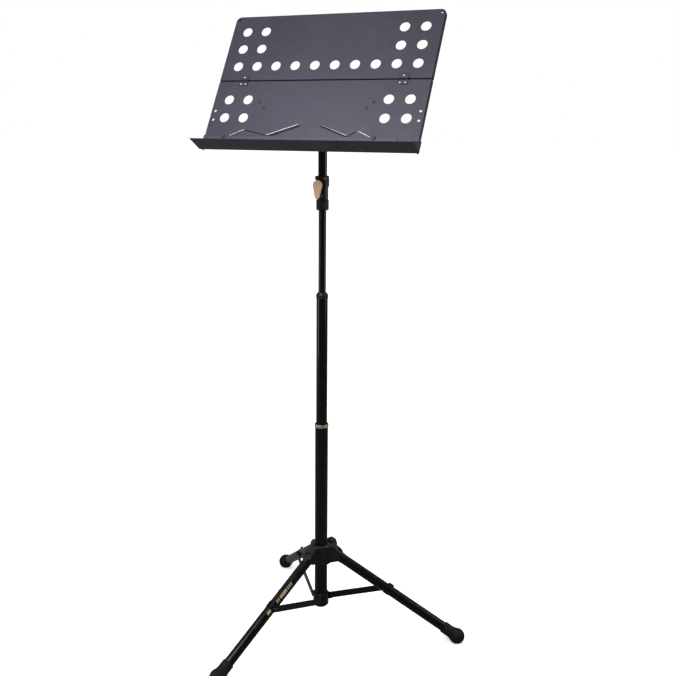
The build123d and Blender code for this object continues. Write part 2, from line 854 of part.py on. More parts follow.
with BuildPart() as leg_hub:
    with BuildSketch(Plane.XY.offset(z_hub_bottom)):
        Circle(hub_radius)
    extrude(amount=z_hub_top - z_hub_bottom)
    fillet(leg_hub.faces().sort_by(Axis.Z)[-1].edges(), 3.0)
    for azimuth in leg_azimuths:
        with BuildSketch(radial_plane(azimuth)):
            with Locations((leg_pivot_reach, z_leg_pivot)):
                Circle(fork_radius)
            with Locations((leg_pivot_reach - 9, z_hub_top - 9)):
                Circle(9)
            with Locations((lower_radius + 4, z_hub_top - 2)):
                Rectangle(4, z_hub_top - z_hub_bottom - 6, align=(Align.MIN, Align.MAX))
            make_hull()
        extrude(amount=fork_outer, both=True)
        with BuildSketch(radial_plane(azimuth)):
            with Locations((leg_pivot_reach, z_leg_pivot)):
                Circle(fork_radius)
            with Locations((leg_pivot_reach, z_hub_bottom - 1)):
                Rectangle(2 * fork_radius, 1)
            with Locations((leg_pivot_reach + 2 * fork_radius, z_leg_pivot + 4)):
                Rectangle(1, 2 * fork_radius)
            make_hull()
        extrude(amount=fork_inner, both=True, mode=Mode.SUBTRACT)
        with BuildSketch(radial_plane(azimuth)):
            with Locations((leg_pivot_reach, z_leg_pivot)):
                Circle(leg_bolt_radius)
        extrude(amount=2 * fork_outer, both=True, mode=Mode.SUBTRACT)
    with BuildSketch(Plane(origin=(0, 0, z_knob), z_dir=outward(knob_azimuth))):
        Circle(knob_boss_radius)
    extrude(amount=knob_start - wide_gap)
    with BuildSketch(Plane(origin=(0, 0, z_knob), z_dir=outward(knob_azimuth))):
        Circle(knob_stud_radius + running)
    extrude(amount=knob_start, mode=Mode.SUBTRACT)
    with BuildSketch(Plane.XY):
        Circle(lower_radius + running)
    extrude(amount=2 * z_hub_top, mode=Mode.SUBTRACT)
save(leg_hub, "leg_hub")

with BuildPart() as leg_bolts:
    for azimuth in leg_azimuths:
        with BuildSketch(radial_plane(azimuth)):
            with Locations((leg_pivot_reach, z_leg_pivot)):
                Circle(leg_bolt_radius)
        extrude(amount=fork_outer, both=True)
        for side in (-1, 1):
            with BuildSketch(radial_plane(azimuth, side * fork_outer)):
                with Locations((leg_pivot_reach, z_leg_pivot)):
                    Circle(2 * leg_bolt_radius)
            extrude(amount=-side * 3.0, taper=12)
save(leg_bolts, "leg_bolts")

knob_axis = outward(knob_azimuth)
knob_origin = Vector(0, 0, z_knob)
with BuildPart() as hub_knob:
    with BuildSketch(Plane(origin=knob_origin + knob_axis * knob_start, z_dir=knob_axis)):
        Circle(knob_radius)
        with PolarLocations(knob_radius + 2.2, 7):
            Circle(3.4, mode=Mode.SUBTRACT)
    extrude(amount=knob_length, taper=6)
    fillet(hub_knob.faces().sort_by(Axis(knob_origin, knob_axis))[-1].edges(), 1.6)
    with BuildSketch(Plane(origin=knob_origin + knob_axis * knob_start, z_dir=knob_axis)):
        Circle(knob_stud_radius)
    extrude(amount=knob_length / 2, mode=Mode.SUBTRACT)
save(hub_knob, "hub_knob")

stud_start = lower_radius + gap
with BuildPart() as knob_stud:
    with BuildSketch(Plane(origin=knob_origin + knob_axis * stud_start, z_dir=knob_axis)):
        Circle(knob_stud_radius)
    extrude(amount=knob_start + knob_length / 2 - stud_start)
save(knob_stud, "knob_stud")

# ---------------------------------------------------------------- legs, braces and the mast foot

brace_inner_side = leg_radius + clip_sheet + wide_gap
brace_middle = brace_inner_side + brace_sheet / 2
brace_outer_side = brace_inner_side + brace_sheet
brace_clear = lower_radius + bracket_ring_wall + brace_ring_gap
brace_inner_reach = sqrt(brace_clear**2 - brace_inner_side**2) + brace_width / 2
leg_fall = sin(radians(leg_slope))
leg_run = cos(radians(leg_slope))
brace_outer_spot = (leg_pivot_reach + brace_distance * leg_run, z_leg_pivot - brace_distance * leg_fall)
brace_inner_spot = (brace_inner_reach, z_brace_inner)
lug_far = brace_inner_side - gap

with BuildPart() as mast_bracket:
    with BuildSketch(Plane.XY.offset(z_bracket_low)):
        Circle(lower_radius + bracket_ring_wall)
    extrude(amount=z_bracket_high - z_bracket_low)
    chamfer(mast_bracket.faces().sort_by(Axis.Z)[-1].edges(), 1.2)
    for azimuth in leg_azimuths:
        with BuildSketch(radial_plane(azimuth, lug_far - lug_sheet / 2)):
            with Locations(brace_inner_spot):
                Circle(lug_radius)
                Circle(brace_pin_radius, mode=Mode.SUBTRACT)
            with Locations((lower_radius - 4, z_brace_inner)):
                Rectangle(2, 2.8 * lug_radius)
            make_hull()
        extrude(amount=lug_sheet / 2, both=True)
        with BuildSketch(radial_plane(azimuth)):
            with Locations(brace_inner_spot):
                Circle(brace_pin_radius)
        extrude(amount=-2 * lug_far, mode=Mode.SUBTRACT)
    with BuildSketch(Plane.XY):
        Circle(lower_radius)
    extrude(amount=2 * z_bracket_high, mode=Mode.SUBTRACT)
save(mast_bracket, "mast_bracket")

with BuildPart() as brace_pins:
    for azimuth in leg_azimuths:
        head = brace_outer_side + gap
        with BuildSketch(radial_plane(azimuth, lug_far - lug_sheet)):
            with Locations(brace_inner_spot):
                Circle(brace_pin_radius)
        extrude(amount=-(head - lug_far + lug_sheet))
        with BuildSketch(radial_plane(azimuth, head)):
            with Locations(brace_inner_spot):
                Circle(1.8 * brace_pin_radius)
        extrude(amount=-1.4, taper=20)
save(brace_pins, "brace_pins")


def leg_pieces(azimuth, name):
    """One leg: its hinged plug, tube, brace clip and rubber boot."""
    pivot = outward(azimuth) * leg_pivot_reach + Vector(0, 0, z_leg_pivot)
    along = outward(azimuth) * leg_run - Vector(0, 0, leg_fall)
    aside = outward(azimuth + 90)
    plane = Plane(origin=pivot, x_dir=along, z_dir=outward(azimuth - 90))
    leg_bore = leg_radius - leg_wall

    with BuildPart() as leg_plug:
        with BuildSketch(plane):
            Circle(plug_eye_radius)
            with Locations((leg_start, 0)):
                Rectangle(2, 2 * leg_bore, align=(Align.MAX, Align.CENTER))
            make_hull()
            Circle(leg_bolt_radius + running, mode=Mode.SUBTRACT)
        extrude(amount=plug_width / 2, both=True)
        with BuildSketch(Plane(origin=pivot + along * leg_start, z_dir=along)):
            Circle(leg_bore)
        extrude(amount=plug_insert)
    save(leg_plug, f"leg_plug_{name}")

    outline = [(leg_bore, leg_start), (leg_radius, leg_start), (leg_radius, leg_length), (leg_bore, leg_length)]
    save(turned(outline, pivot, along, aside), f"leg_tube_{name}")

    with BuildPart() as leg_clip:
        clip_start = pivot + along * (brace_distance - clip_width / 2)
        with BuildSketch(Plane(origin=clip_start, x_dir=aside, z_dir=along)):
            Circle(leg_radius + clip_sheet)
            with Locations((0, leg_radius)):
                Rectangle(3 * clip_sheet, 2 * clip_ear)
            Circle(leg_radius, mode=Mode.SUBTRACT)
        extrude(amount=clip_width)
    save(leg_clip, f"leg_clip_{name}")

    bulb, neck = boot_bulb_radius, leg_radius + boot_neck_wall
    with BuildPart() as leg_boot:
        with BuildSketch(Plane(origin=pivot, x_dir=aside, z_dir=aside.cross(along))):
            with BuildLine():
                collar = (neck, boot_start + boot_collar)
                shoulder = (sqrt(bulb**2 - boot_shoulder**2), boot_bulb_distance - boot_shoulder)
                tip = (0, boot_bulb_distance + bulb)
                Polyline((leg_radius, leg_length), (leg_radius, boot_start), (neck, boot_start), collar)
                Spline(collar, shoulder, tangents=[(0, 1), (boot_shoulder, shoulder[0])])
                RadiusArc(shoulder, tip, -bulb)
                Polyline(tip, (0, leg_length), (leg_radius, leg_length))
            make_face()
        revolve(axis=Axis(pivot, along))
        split(bisect_by=Plane.XY, keep=Keep.TOP)
    save(leg_boot, f"leg_boot_{name}")


def brace_pieces(azimuth, name):
    """One flat brace beside its leg, and the rivet at its outer end."""
    with BuildPart() as brace:
        with BuildSketch(radial_plane(azimuth, brace_middle)):
            with Locations(brace_inner_spot, brace_outer_spot):
                Circle(brace_width / 2)
            make_hull()
            with Locations(brace_inner_spot):
                Circle(brace_pin_radius + running, mode=Mode.SUBTRACT)
            with Locations(brace_outer_spot):
                Circle(brace_pin_radius, mode=Mode.SUBTRACT)
        extrude(amount=brace_sheet / 2, both=True)
    save(brace, f"brace_{name}")

    with BuildPart() as brace_rivet:
        with BuildSketch(radial_plane(azimuth, brace_inner_side - gap)):
            with Locations(brace_outer_spot):
                Circle(brace_pin_radius)
        extrude(amount=-(brace_sheet + gap))
        with BuildSketch(radial_plane(azimuth, brace_outer_side)):
            with Locations(brace_outer_spot):
                Circle(1.9 * brace_pin_radius)
        extrude(amount=-1.6, taper=20)
    save(brace_rivet, f"brace_rivet_{name}")


for azimuth, name in zip(leg_azimuths, leg_names):
    leg_pieces(azimuth, name)
    brace_pieces(azimuth, name)
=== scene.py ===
import json
from math import cos, pi, radians, sin

import bpy
import numpy as np
from mathutils import Matrix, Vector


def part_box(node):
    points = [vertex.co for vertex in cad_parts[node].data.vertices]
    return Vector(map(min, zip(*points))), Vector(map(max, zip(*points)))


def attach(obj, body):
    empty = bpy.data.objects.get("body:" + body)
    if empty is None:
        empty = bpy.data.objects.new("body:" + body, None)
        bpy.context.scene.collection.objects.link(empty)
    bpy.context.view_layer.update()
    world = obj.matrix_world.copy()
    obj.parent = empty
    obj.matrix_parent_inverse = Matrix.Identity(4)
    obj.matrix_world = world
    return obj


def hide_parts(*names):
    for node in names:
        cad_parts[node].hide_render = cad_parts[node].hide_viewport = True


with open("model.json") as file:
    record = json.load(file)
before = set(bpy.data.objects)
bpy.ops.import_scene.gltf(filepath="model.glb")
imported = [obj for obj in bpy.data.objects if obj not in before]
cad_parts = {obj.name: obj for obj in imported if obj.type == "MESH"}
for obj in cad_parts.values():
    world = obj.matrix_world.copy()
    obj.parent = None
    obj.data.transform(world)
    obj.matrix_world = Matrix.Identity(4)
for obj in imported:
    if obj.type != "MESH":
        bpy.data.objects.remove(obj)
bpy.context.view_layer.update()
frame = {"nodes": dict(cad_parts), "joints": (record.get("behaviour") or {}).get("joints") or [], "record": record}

# Music stand, in metres. The mast stands on the Z axis, the floor is z = 0 and the desk faces -Y.
mm = 0.001
joints = {joint["name"]: joint for joint in frame["joints"]}
east = np.array((1.0, 0.0, 0.0))
sky = np.array((0.0, 0.0, 1.0))
mast_axis = [(np.zeros(3), sky)]
mast_steps = 96

# The desk: the direction out of its face, and the depth of the panel hinge's axis in front of the sheet
hinge_axis_depth = 2.5 * mm
desk_front = np.array(joints["retainer_swing_left"]["axis"])
desk_up = np.cross(desk_front, east)
divider = np.array(joints["panel_fold"]["pos_m"]) - desk_front * hinge_axis_depth
panel_sheet = 1.0 * mm
tray_sheet = 1.2 * mm
lower_height = 170.0 * mm

# Tubes and the legs
tube_wall = 1.2 * mm
tube_rim = 0.4 * mm
leg_names = ("right", "rear", "front")
leg_slope = radians(31.25)
leg_radius = 11.5 * mm
leg_start = 20.0 * mm
leg_length = 335.0 * mm
plug_width = 13.0 * mm
fork_sheet = 5.0 * mm

# The clutch and its lever
rod_play = 0.06 * mm
lever_thickness = 3.4 * mm
lever_foot_reach = 24.45 * mm
lever_top_reach = 22.15 * mm
lever_tail_radius = 3.4 * mm
lever_tail_width = 8.0 * mm

# Rivets: shank, head and tail
rivet_shank = 1.6 * mm
rivet_head = 3.0 * mm
rivet_rise = 0.9 * mm
rivet_tail = 2.4 * mm

# Page retainers, bent wire: (across the desk, up from the shelf)
wire_radius = 1.5 * mm
retainer_pivot = (172.0, 5.0)
retainer_knee = (130.0, 25.0)
retainer_rest = (95.0, 32.0)
retainer_tip = (24.0, 59.0)
retainer_front = 48.2 * mm
retainer_run = 38.5 * mm
retainer_lie = 4.0 * mm
retainer_bend = 6.0 * mm


# ---------------------------------------------------------------- shapes


def unit(vectors):
    """The same directions with length 1."""
    return vectors / np.linalg.norm(vectors, axis=-1, keepdims=True)


def across(axis):
    """Two directions square to an axis and to each other."""
    helper = east if abs(axis[2]) > 0.9 else sky
    first = unit(np.cross(axis, helper))
    return first, np.cross(axis, first)


def on_desk(side, rise, depth):
    """Point at a distance to the side, up from the divider between the panels and out from the sheet."""
    return divider + side * east + rise * desk_up + depth * desk_front


def softened(corners, cut, closed=False, steps=6):
    """Outline with its corners rounded. A corner P becomes the parabola (1-t)^2 A + 2t(1-t) P + t^2 B,
    where A and B lie on its two sides at the distance cut, or at 0.4 of a side that is short.
    One more point on each side, 1.3 times as far, keeps the shading of the flats flat."""
    corners = np.asarray(corners, float)
    before = np.roll(corners, 1, axis=0) - corners
    after = np.roll(corners, -1, axis=0) - corners
    length_before = np.linalg.norm(before, axis=1, keepdims=True)
    length_after = np.linalg.norm(after, axis=1, keepdims=True)
    reach = np.minimum(cut, 0.4 * np.minimum(length_before, length_after))
    start = before / length_before * reach
    end = after / length_after * reach
    t = np.linspace(0, 1, steps)[None, :, None]
    arcs = corners[:, None] + (1 - t) ** 2 * start[:, None] + t**2 * end[:, None]
    guards = [corners + 1.3 * start, corners + 1.3 * end]
    arcs = np.concatenate([guards[0][:, None], arcs, guards[1][:, None]], axis=1)
    if closed:
        return arcs.reshape(-1, corners.shape[1])
    inner = arcs[1:-1].reshape(-1, corners.shape[1])
    return np.concatenate([corners[:1], inner, corners[-1:]])


def turned(outline, places, steps=72, shape=None):
    """Surface of revolution: centre + distance * axis + radius * (cos a * e1 + sin a * e2), for each
    (radius, distance) of the outline and each angle a. shape may change the radius with the angle."""
    angle = np.linspace(0, 2 * pi, steps, endpoint=False)
    radius = outline[:, :1] + 0 * angle
    distance = outline[:, 1:] + 0 * angle
    if shape:
        radius = shape(radius, distance, angle)
    grids = []
    for centre, axis in places:
        first, second = across(axis)
        ray = np.cos(angle)[:, None] * first + np.sin(angle)[:, None] * second
        grids.append(centre + distance[..., None] * axis + radius[..., None] * ray)
    return grids


def wire(path, radius, reference, steps=24):
    """Round wire with half-round ends: a circle square to the path, carried along it. Towards each end
    its radius is radius * sin(q) and its centre lies radius * (1 - cos q) from the end, q from 0 to 90."""
    heading = unit(np.gradient(path, axis=0))
    rings = 6
    q = np.linspace(0, pi / 2, rings + 1)[:-1]
    nose = path[0] + (radius * (1 - np.cos(q)))[:, None] * heading[0]
    tail = path[-1] - (radius * (1 - np.cos(q[::-1])))[:, None] * heading[-1]
    centre = np.concatenate([nose, path[1:-1], tail])
    ends = [np.tile(heading[k], (rings, 1)) for k in (0, -1)]
    heading = np.concatenate([ends[0], heading[1:-1], ends[1]])
    size = np.concatenate([radius * np.sin(q), np.full(len(path) - 2, radius), radius * np.sin(q[::-1])])
    side = unit(np.cross(heading, reference))
    lift = np.cross(side, heading)
    angle = np.linspace(0, 2 * pi, steps, endpoint=False)[None, :, None]
    ring = np.cos(angle) * side[:, None] + np.sin(angle) * lift[:, None]
    return [centre[:, None] + size[:, None, None] * ring]


def two_circles(first, first_radius, second, second_radius, steps=96):
    """Outline drawn tight round two circles: for each direction (cos a, sin a) it takes the point of
    the circle that reaches further that way."""
    angle = np.linspace(0, 2 * pi, steps, endpoint=False)
    ray = np.stack([np.cos(angle), np.sin(angle)], axis=1)
    first, second = np.asarray(first, float), np.asarray(second, float)
    further = (ray @ first + first_radius > ray @ second + second_radius)[:, None]
    return np.where(further, first + first_radius * ray, second + second_radius * ray)


def bar_outline(length, width, slant, power, steps=64):
    """Bar with round corners: |x / half length|^power + |y / half width|^power = 1, then x leans by
    slant * y."""
    angle = np.linspace(0, 2 * pi, steps, endpoint=False)
    x = length / 2 * np.sign(np.cos(angle)) * np.abs(np.cos(angle)) ** (2 / power)
    y = width / 2 * np.sign(np.sin(angle)) * np.abs(np.sin(angle)) ** (2 / power)
    return np.stack([x + slant * y, y], axis=1)


def pillow(outline, top, bottom, soft, place):
    """Plate with a rounded edge. Its rings run from the middle of the top to the outline, round the
    edge and back to the middle of the bottom. On the edge, at q from 0 to 180 degrees, a ring is pulled
    in by soft * (1 - sqrt(sin q)) and stands between top and bottom by the square root of cos q."""
    share = np.array((0.0, 0.2, 0.4, 0.6, 0.75, 0.88, 0.96))
    q = np.linspace(0, pi, 13)
    size = np.linalg.norm(outline, axis=1, keepdims=True)
    inset = soft * (1 - np.sqrt(np.abs(np.sin(q))))
    edge = outline * (1 - inset[:, None, None] / size)
    face = edge[0] * share[:, None, None]
    rings = np.concatenate([face, edge, face[::-1]])
    lean = np.sign(np.cos(q)) * np.sqrt(np.abs(np.cos(q)))
    lean = np.concatenate([np.ones(len(share)), lean, -np.ones(len(share))])[:, None]
    x, y = rings[..., 0], rings[..., 1]
    high, low = top(x, y), bottom(x, y)
    return [place(x, y, (high + low) / 2 + lean * (high - low) / 2)]


def hexagon(angle):
    """Distance to a hexagon's side for a middle-to-flat distance of 1."""
    return 1 / np.cos((angle + pi / 6) % (pi / 3) - pi / 6)


def window(value, low, high, soft):
    """1 between low and high, 0 outside, with straight slopes of the width soft."""
    return np.clip((value - low) / soft, 0, 1) * np.clip((high - value) / soft, 0, 1)


def closed_mesh(name, grids, looped):
    """Mesh of closed grids (rings, points round, xyz). Its first and last rings are single points, or
    where looped they join each other. Faces turn outwards, because a copy of negative volume is
    reversed."""
    grids = np.stack(grids)
    copies, rings, around = grids.shape[:3]
    j = np.arange(around)
    following = (j + 1) % around
    if looped:
        points = grids.reshape(copies, -1, 3)
        row = np.arange(rings)[:, None] * around
        next_row = np.roll(row, -1)
        fans = np.empty((0, 3), int)
    else:
        points = np.concatenate([grids[:, 1:-1].reshape(copies, -1, 3), grids[:, [0, -1], 0]], axis=1)
        row = np.arange(rings - 3)[:, None] * around
        next_row = row + around
        last = (rings - 3) * around
        ends = len(points[0]) - np.array((2, 1))
        first_fan = np.stack([following, j, np.full(around, ends[0])], axis=1)
        last_fan = np.stack([last + j, last + following, np.full(around, ends[1])], axis=1)
        fans = np.concatenate([first_fan, last_fan])
    quads = np.stack([row + j, row + following, next_row + following, next_row + j], axis=-1).reshape(-1, 4)
    triangles = np.concatenate([quads[:, [0, 1, 2]], quads[:, [0, 2, 3]], fans])
    faces = []
    for count, cloud in enumerate(points):
        a, b, c = (cloud[triangles[:, k]] for k in range(3))
        turn = 1 if np.einsum("ij,ij->", a, np.cross(b, c)) > 0 else -1
        start = count * len(cloud)
        faces += (start + quads[:, ::turn]).tolist() + (start + fans[:, ::turn]).tolist()
    mesh = bpy.data.meshes.new(name)
    mesh.from_pydata(points.reshape(-1, 3).tolist(), [], faces)
    mesh.shade_smooth()
    mesh.set_sharp_from_angle(angle=radians(42))
    return mesh


def add_piece(name, grids, body, slot, replaced=(), looped=False):
    """Put a closed surface in the scene, on its body, with its finish."""
    piece = bpy.data.objects.new(name, closed_mesh(name, grids, looped))
    bpy.context.scene.collection.objects.link(piece)
    piece.data.materials.append(finishes[slot])
    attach(piece, body)
    if replaced:
        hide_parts(*replaced)


# ---------------------------------------------------------------- shader helpers


def add_node(tree, kind, inputs=None, **settings):
    """A node with its settings, and its inputs given as values or as sockets to link."""
    node = tree.nodes.new(kind)
    for key, value in settings.items():
        setattr(node, key, value)
    for key, value in (inputs or {}).items():
        if isinstance(value, bpy.types.NodeSocket):
            tree.links.new(value, node.inputs[key])
        else:
            node.inputs[key].default_value = value
    return node


def work_out(tree, operation, first, second=0.0, clamp=False):
    """Result of a Math node."""
    inputs = {0: first, 1: second}
    return add_node(tree, "ShaderNodeMath", inputs, operation=operation, use_clamp=clamp).outputs[0]


def remap(tree, value, low, high, new_low=0.0, new_high=1.0):
    """A value moved smoothly from one range to another."""
    inputs = {"Value": value, "From Min": low, "From Max": high, "To Min": new_low, "To Max": new_high}
    return add_node(tree, "ShaderNodeMapRange", inputs, interpolation_type="SMOOTHSTEP").outputs["Result"]


def mix_colours(tree, share, first, second):
    """Colour between two colours."""
    node = add_node(tree, "ShaderNodeMix", {0: share, 6: first, 7: second}, data_type="RGBA")
    return node.outputs[2]


def new_group(name, inputs, outputs):
    """Empty shader group with named sockets, and its input and output nodes."""
    tree = bpy.data.node_groups.new(name, "ShaderNodeTree")
    for label, default in inputs.items():
        kind = "NodeSocketVector" if default is None else "NodeSocketFloat"
        socket = tree.interface.new_socket(label, in_out="INPUT", socket_type=kind)
        if default is not None:
            socket.default_value = default
    for label in outputs:
        tree.interface.new_socket(label, in_out="OUTPUT", socket_type="NodeSocketFloat")
    return tree, tree.nodes.new("NodeGroupInput").outputs, tree.nodes.new("NodeGroupOutput").inputs


def noise(tree, place, scale, detail=2.0, distortion=0.0):
    """Value of a Noise texture."""
    inputs = {"Vector": place, "Scale": scale, "Detail": detail, "Distortion": distortion}
    return add_node(tree, "ShaderNodeTexNoise", inputs).outputs[0]


# ---------------------------------------------------------------- shared effects


def make_coating_grain():
    """Fine texture of a sprayed or moulded surface: soft bumps with small round pits."""
    tree, given, result = new_group("coating_grain", {"Place": None, "Scale": 900.0, "Pits": 0.4}, ["Height"])
    swell = noise(tree, given["Place"], given["Scale"], 2.0)
    finer = work_out(tree, "MULTIPLY", given["Scale"], 1.7)
    inputs = {"Vector": given["Place"], "Scale": finer}
    cells = add_node(tree, "ShaderNodeTexVoronoi", inputs, feature="SMOOTH_F1")
    pits = work_out(tree, "MULTIPLY", cells.outputs["Distance"], given["Pits"])
    tree.links.new(work_out(tree, "SUBTRACT", swell, pits), result["Height"])
    return tree


def make_hand_smears():
    """Soft patches where hands and cloths have dulled the shine, with a few long wipes."""
    tree, given, result = new_group("hand_smears", {"Place": None, "Scale": 14.0}, ["Amount"])
    patches = noise(tree, given["Place"], given["Scale"], 4.0, 0.8)
    long_way = add_node(tree, "ShaderNodeMapping", {"Vector": given["Place"], "Scale": (1.0, 0.25, 0.35)})
    wipes = noise(tree, long_way.outputs[0], work_out(tree, "MULTIPLY", given["Scale"], 6.0), 3.0, 0.4)
    both = work_out(tree, "MULTIPLY", remap(tree, patches, 0.35, 0.7), remap(tree, wipes, 0.3, 0.75))
    tree.links.new(both, result["Amount"])
    return tree


def make_worn_and_shaded_edges():
    """Broken line along sharp edges, where the rounded normal leaves the surface's own normal, for wear. Its
    second output is the same line unbroken, used for painted shade along rims.
    """
    tree, given, result = new_group(
        "worn_and_shaded_edges", {"Place": None, "Radius": 0.0008, "Breaks": 90.0, "Amount": 1.0}, ["Mask", "Shade_band"]
    )
    rounded = add_node(tree, "ShaderNodeBevel", {"Radius": given["Radius"]}, samples=4)
    surface = tree.nodes.new("ShaderNodeNewGeometry")
    inputs = {0: rounded.outputs[0], 1: surface.outputs["Normal"]}
    match = add_node(tree, "ShaderNodeVectorMath", inputs, operation="DOT_PRODUCT").outputs["Value"]
    tree.links.new(remap(tree, match, 0.995, 0.93), result["Shade_band"])
    edge = remap(tree, match, 0.97, 0.8)
    breaks = remap(tree, noise(tree, given["Place"], given["Breaks"], 5.0), 0.5, 0.62)
    mask = work_out(tree, "MULTIPLY", edge, breaks)
    tree.links.new(work_out(tree, "MULTIPLY", mask, given["Amount"], True), result["Mask"])
    return tree


def make_settled_dust():
    """Thin dust on faces that look up, thicker in patches."""
    tree, given, result = new_group("settled_dust", {"Place": None, "Scale": 40.0, "Amount": 0.3}, ["Mask"])
    own_normal = tree.nodes.new("ShaderNodeTexCoord").outputs["Normal"]
    up = add_node(tree, "ShaderNodeSeparateXYZ", {0: own_normal}).outputs["Z"]
    patches = remap(tree, noise(tree, given["Place"], given["Scale"], 6.0), 0.3, 0.8, 0.35, 1.0)
    mask = work_out(tree, "MULTIPLY", remap(tree, up, 0.25, 0.95), patches)
    tree.links.new(work_out(tree, "MULTIPLY", mask, given["Amount"], True), result["Mask"])
    return tree


def make_hair_scratches():
    """Short hairline scratches that run along the first axis of the given place."""
    tree, given, result = new_group("hair_scratches", {"Place": None, "Scale": 60.0, "Amount": 0.5}, ["Mask"])
    stretched = add_node(tree, "ShaderNodeMapping", {"Vector": given["Place"], "Scale": (0.12, 3.0, 3.0)})
    lines = noise(tree, stretched.outputs[0], given["Scale"], 3.0, 0.3)
    thin = remap(tree, work_out(tree, "ABSOLUTE", work_out(tree, "SUBTRACT", lines, 0.5)), 0.006, 0.0)
    where = remap(tree, noise(tree, given["Place"], 9.0, 2.0), 0.52, 0.66)
    mask = work_out(tree, "MULTIPLY", thin, where)
    tree.links.new(work_out(tree, "MULTIPLY", mask, given["Amount"], True), result["Mask"])
    return tree


def make_draw_lines():
    """Long fine lines that a die leaves on drawn metal, along the third axis of the given place."""
    tree, given, result = new_group("draw_lines", {"Place": None, "Scale": 900.0}, ["Height"])
    stretched = add_node(tree, "ShaderNodeMapping", {"Vector": given["Place"], "Scale": (1.0, 1.0, 0.012)})
    tree.links.new(noise(tree, stretched.outputs[0], given["Scale"], 3.0), result["Height"])
    return tree


coating_grain = make_coating_grain()
hand_smears = make_hand_smears()
worn_and_shaded_edges = make_worn_and_shaded_edges()
settled_dust = make_settled_dust()
hair_scratches = make_hair_scratches()
draw_lines = make_draw_lines()


class Finish:
    """One material under way: its tree, its shader and the object's own coordinates."""

    def __init__(self, name, **uniform):
        self.material = bpy.data.materials.new(name)
        self.material.use_nodes = True
        self.tree = self.material.node_tree
        self.shader = self.tree.nodes["Principled BSDF"]
        self.place = self.tree.nodes.new("ShaderNodeTexCoord").outputs["Object"]
        for key, value in uniform.items():
            self.shader.inputs[key.replace("_", " ")].default_value = value

    def effect(self, group, output, **inputs):
        """Output of a shared effect placed with its own values."""
        node = self.tree.nodes.new("ShaderNodeGroup")
        node.node_tree = group
        self.tree.links.new(inputs.pop("Place", self.place), node.inputs["Place"])
        for key, value in inputs.items():
            node.inputs[key].default_value = value
        return node.outputs[output]

    def over(self, base, colour, group, **inputs):
        """Base colour with another laid over it by the mask of a shared effect."""
        return mix_colours(self.tree, self.effect(group, "Mask", **inputs), base, colour)

    def turned_place(self, turn, scale=(1.0, 1.0, 1.0)):
        """Object coordinates turned and stretched for a pattern with a direction."""
        inputs = {"Vector": self.place, "Rotation": turn, "Scale": scale}
        return add_node(self.tree, "ShaderNodeMapping", inputs).outputs[0]

    def bump(self, height, distance, strength=1.0, under=None):
        """Normal bumped by a height times a distance in metres, over the normal under it. Where none is
        given, that is the surface's own, rounded at its edges."""
        inputs = {"Height": height, "Distance": distance, "Strength": strength}
        if under is None:
            under = add_node(self.tree, "ShaderNodeBevel", {"Radius": 0.5 * mm}, samples=4).outputs[0]
        inputs["Normal"] = under
        return add_node(self.tree, "ShaderNodeBump", inputs).outputs[0]

    def set(self, **sockets):
        """Link sockets of the shader."""
        for key, value in sockets.items():
            self.tree.links.new(value, self.shader.inputs[key.replace("_", " ")])
        return self.material


# ---------------------------------------------------------------- finishes

no_turn = (0.0, 0.0, 0.0)
quarter_turn = (0.0, radians(90), 0.0)


def desk_paint():
    """Dark violet-grey powder coat: satin and finely grained, with painted shade near black along its rims,
    and a little brighter where it is rubbed."""
    finish = Finish("desk_paint", IOR=1.5, Specular_Tint=(0.9, 0.84, 1.0, 1))
    tree = finish.tree
    cloud = noise(tree, finish.place, 3.0, 3.0)
    base = mix_colours(tree, remap(tree, cloud, 0.3, 0.7), (0.03, 0.026, 0.042, 1), (0.038, 0.033, 0.052, 1))
    speck = remap(tree, noise(tree, finish.place, 2600.0, 1.0), 0.62, 0.8)
    base = mix_colours(tree, work_out(tree, "MULTIPLY", speck, 0.3), base, (0.09, 0.08, 0.12, 1))
    # painted shade: a near-black band along the rims stands in for the shade of the bent edges
    rim = finish.effect(worn_and_shaded_edges, "Shade_band", Radius=0.0024)
    base = mix_colours(tree, work_out(tree, "MULTIPLY", rim, 0.92), base, (0.003, 0.0025, 0.004, 1))
    base = finish.over(base, (0.1, 0.09, 0.13, 1), hair_scratches, Amount=0.35)
    base = finish.over(base, (0.2, 0.19, 0.22, 1), worn_and_shaded_edges, Radius=0.0005, Amount=0.3)
    base = finish.over(base, (0.45, 0.44, 0.42, 1), settled_dust, Amount=0.05)
    smear = finish.effect(hand_smears, "Amount", Scale=9.0)
    grain = finish.effect(coating_grain, "Height", Scale=1400.0, Pits=0.5)
    rough = remap(tree, smear, 0.0, 1.0, 0.4, 0.5)
    return finish.set(Base_Color=base, Roughness=rough, Normal=finish.bump(grain, 0.00012, 0.5))


def black_paint():
    """Black stove enamel on tube: glossy, with faint orange peel, draw lines and handling marks."""
    finish = Finish("black_paint", IOR=1.32)
    tree = finish.tree
    cloud = noise(tree, finish.place, 12.0, 2.0)
    base = mix_colours(tree, cloud, (0.0008, 0.0008, 0.001, 1), (0.0018, 0.0018, 0.0021, 1))
    base = finish.over(base, (0.16, 0.16, 0.165, 1), worn_and_shaded_edges, Radius=0.0005, Amount=0.6)
    along = finish.turned_place(quarter_turn)
    base = finish.over(base, (0.07, 0.07, 0.075, 1), hair_scratches, Place=along, Scale=45.0, Amount=0.3)
    base = finish.over(base, (0.4, 0.39, 0.37, 1), settled_dust, Amount=0.04)
    smear = finish.effect(hand_smears, "Amount", Scale=22.0)
    peel = noise(tree, finish.place, 420.0, 2.0)
    lines = finish.effect(draw_lines, "Height")
    normal = finish.bump(lines, 0.00004, 0.25, finish.bump(peel, 0.00012, 0.3))
    return finish.set(Base_Color=base, Roughness=remap(tree, smear, 0.0, 1.0, 0.17, 0.32), Normal=normal)


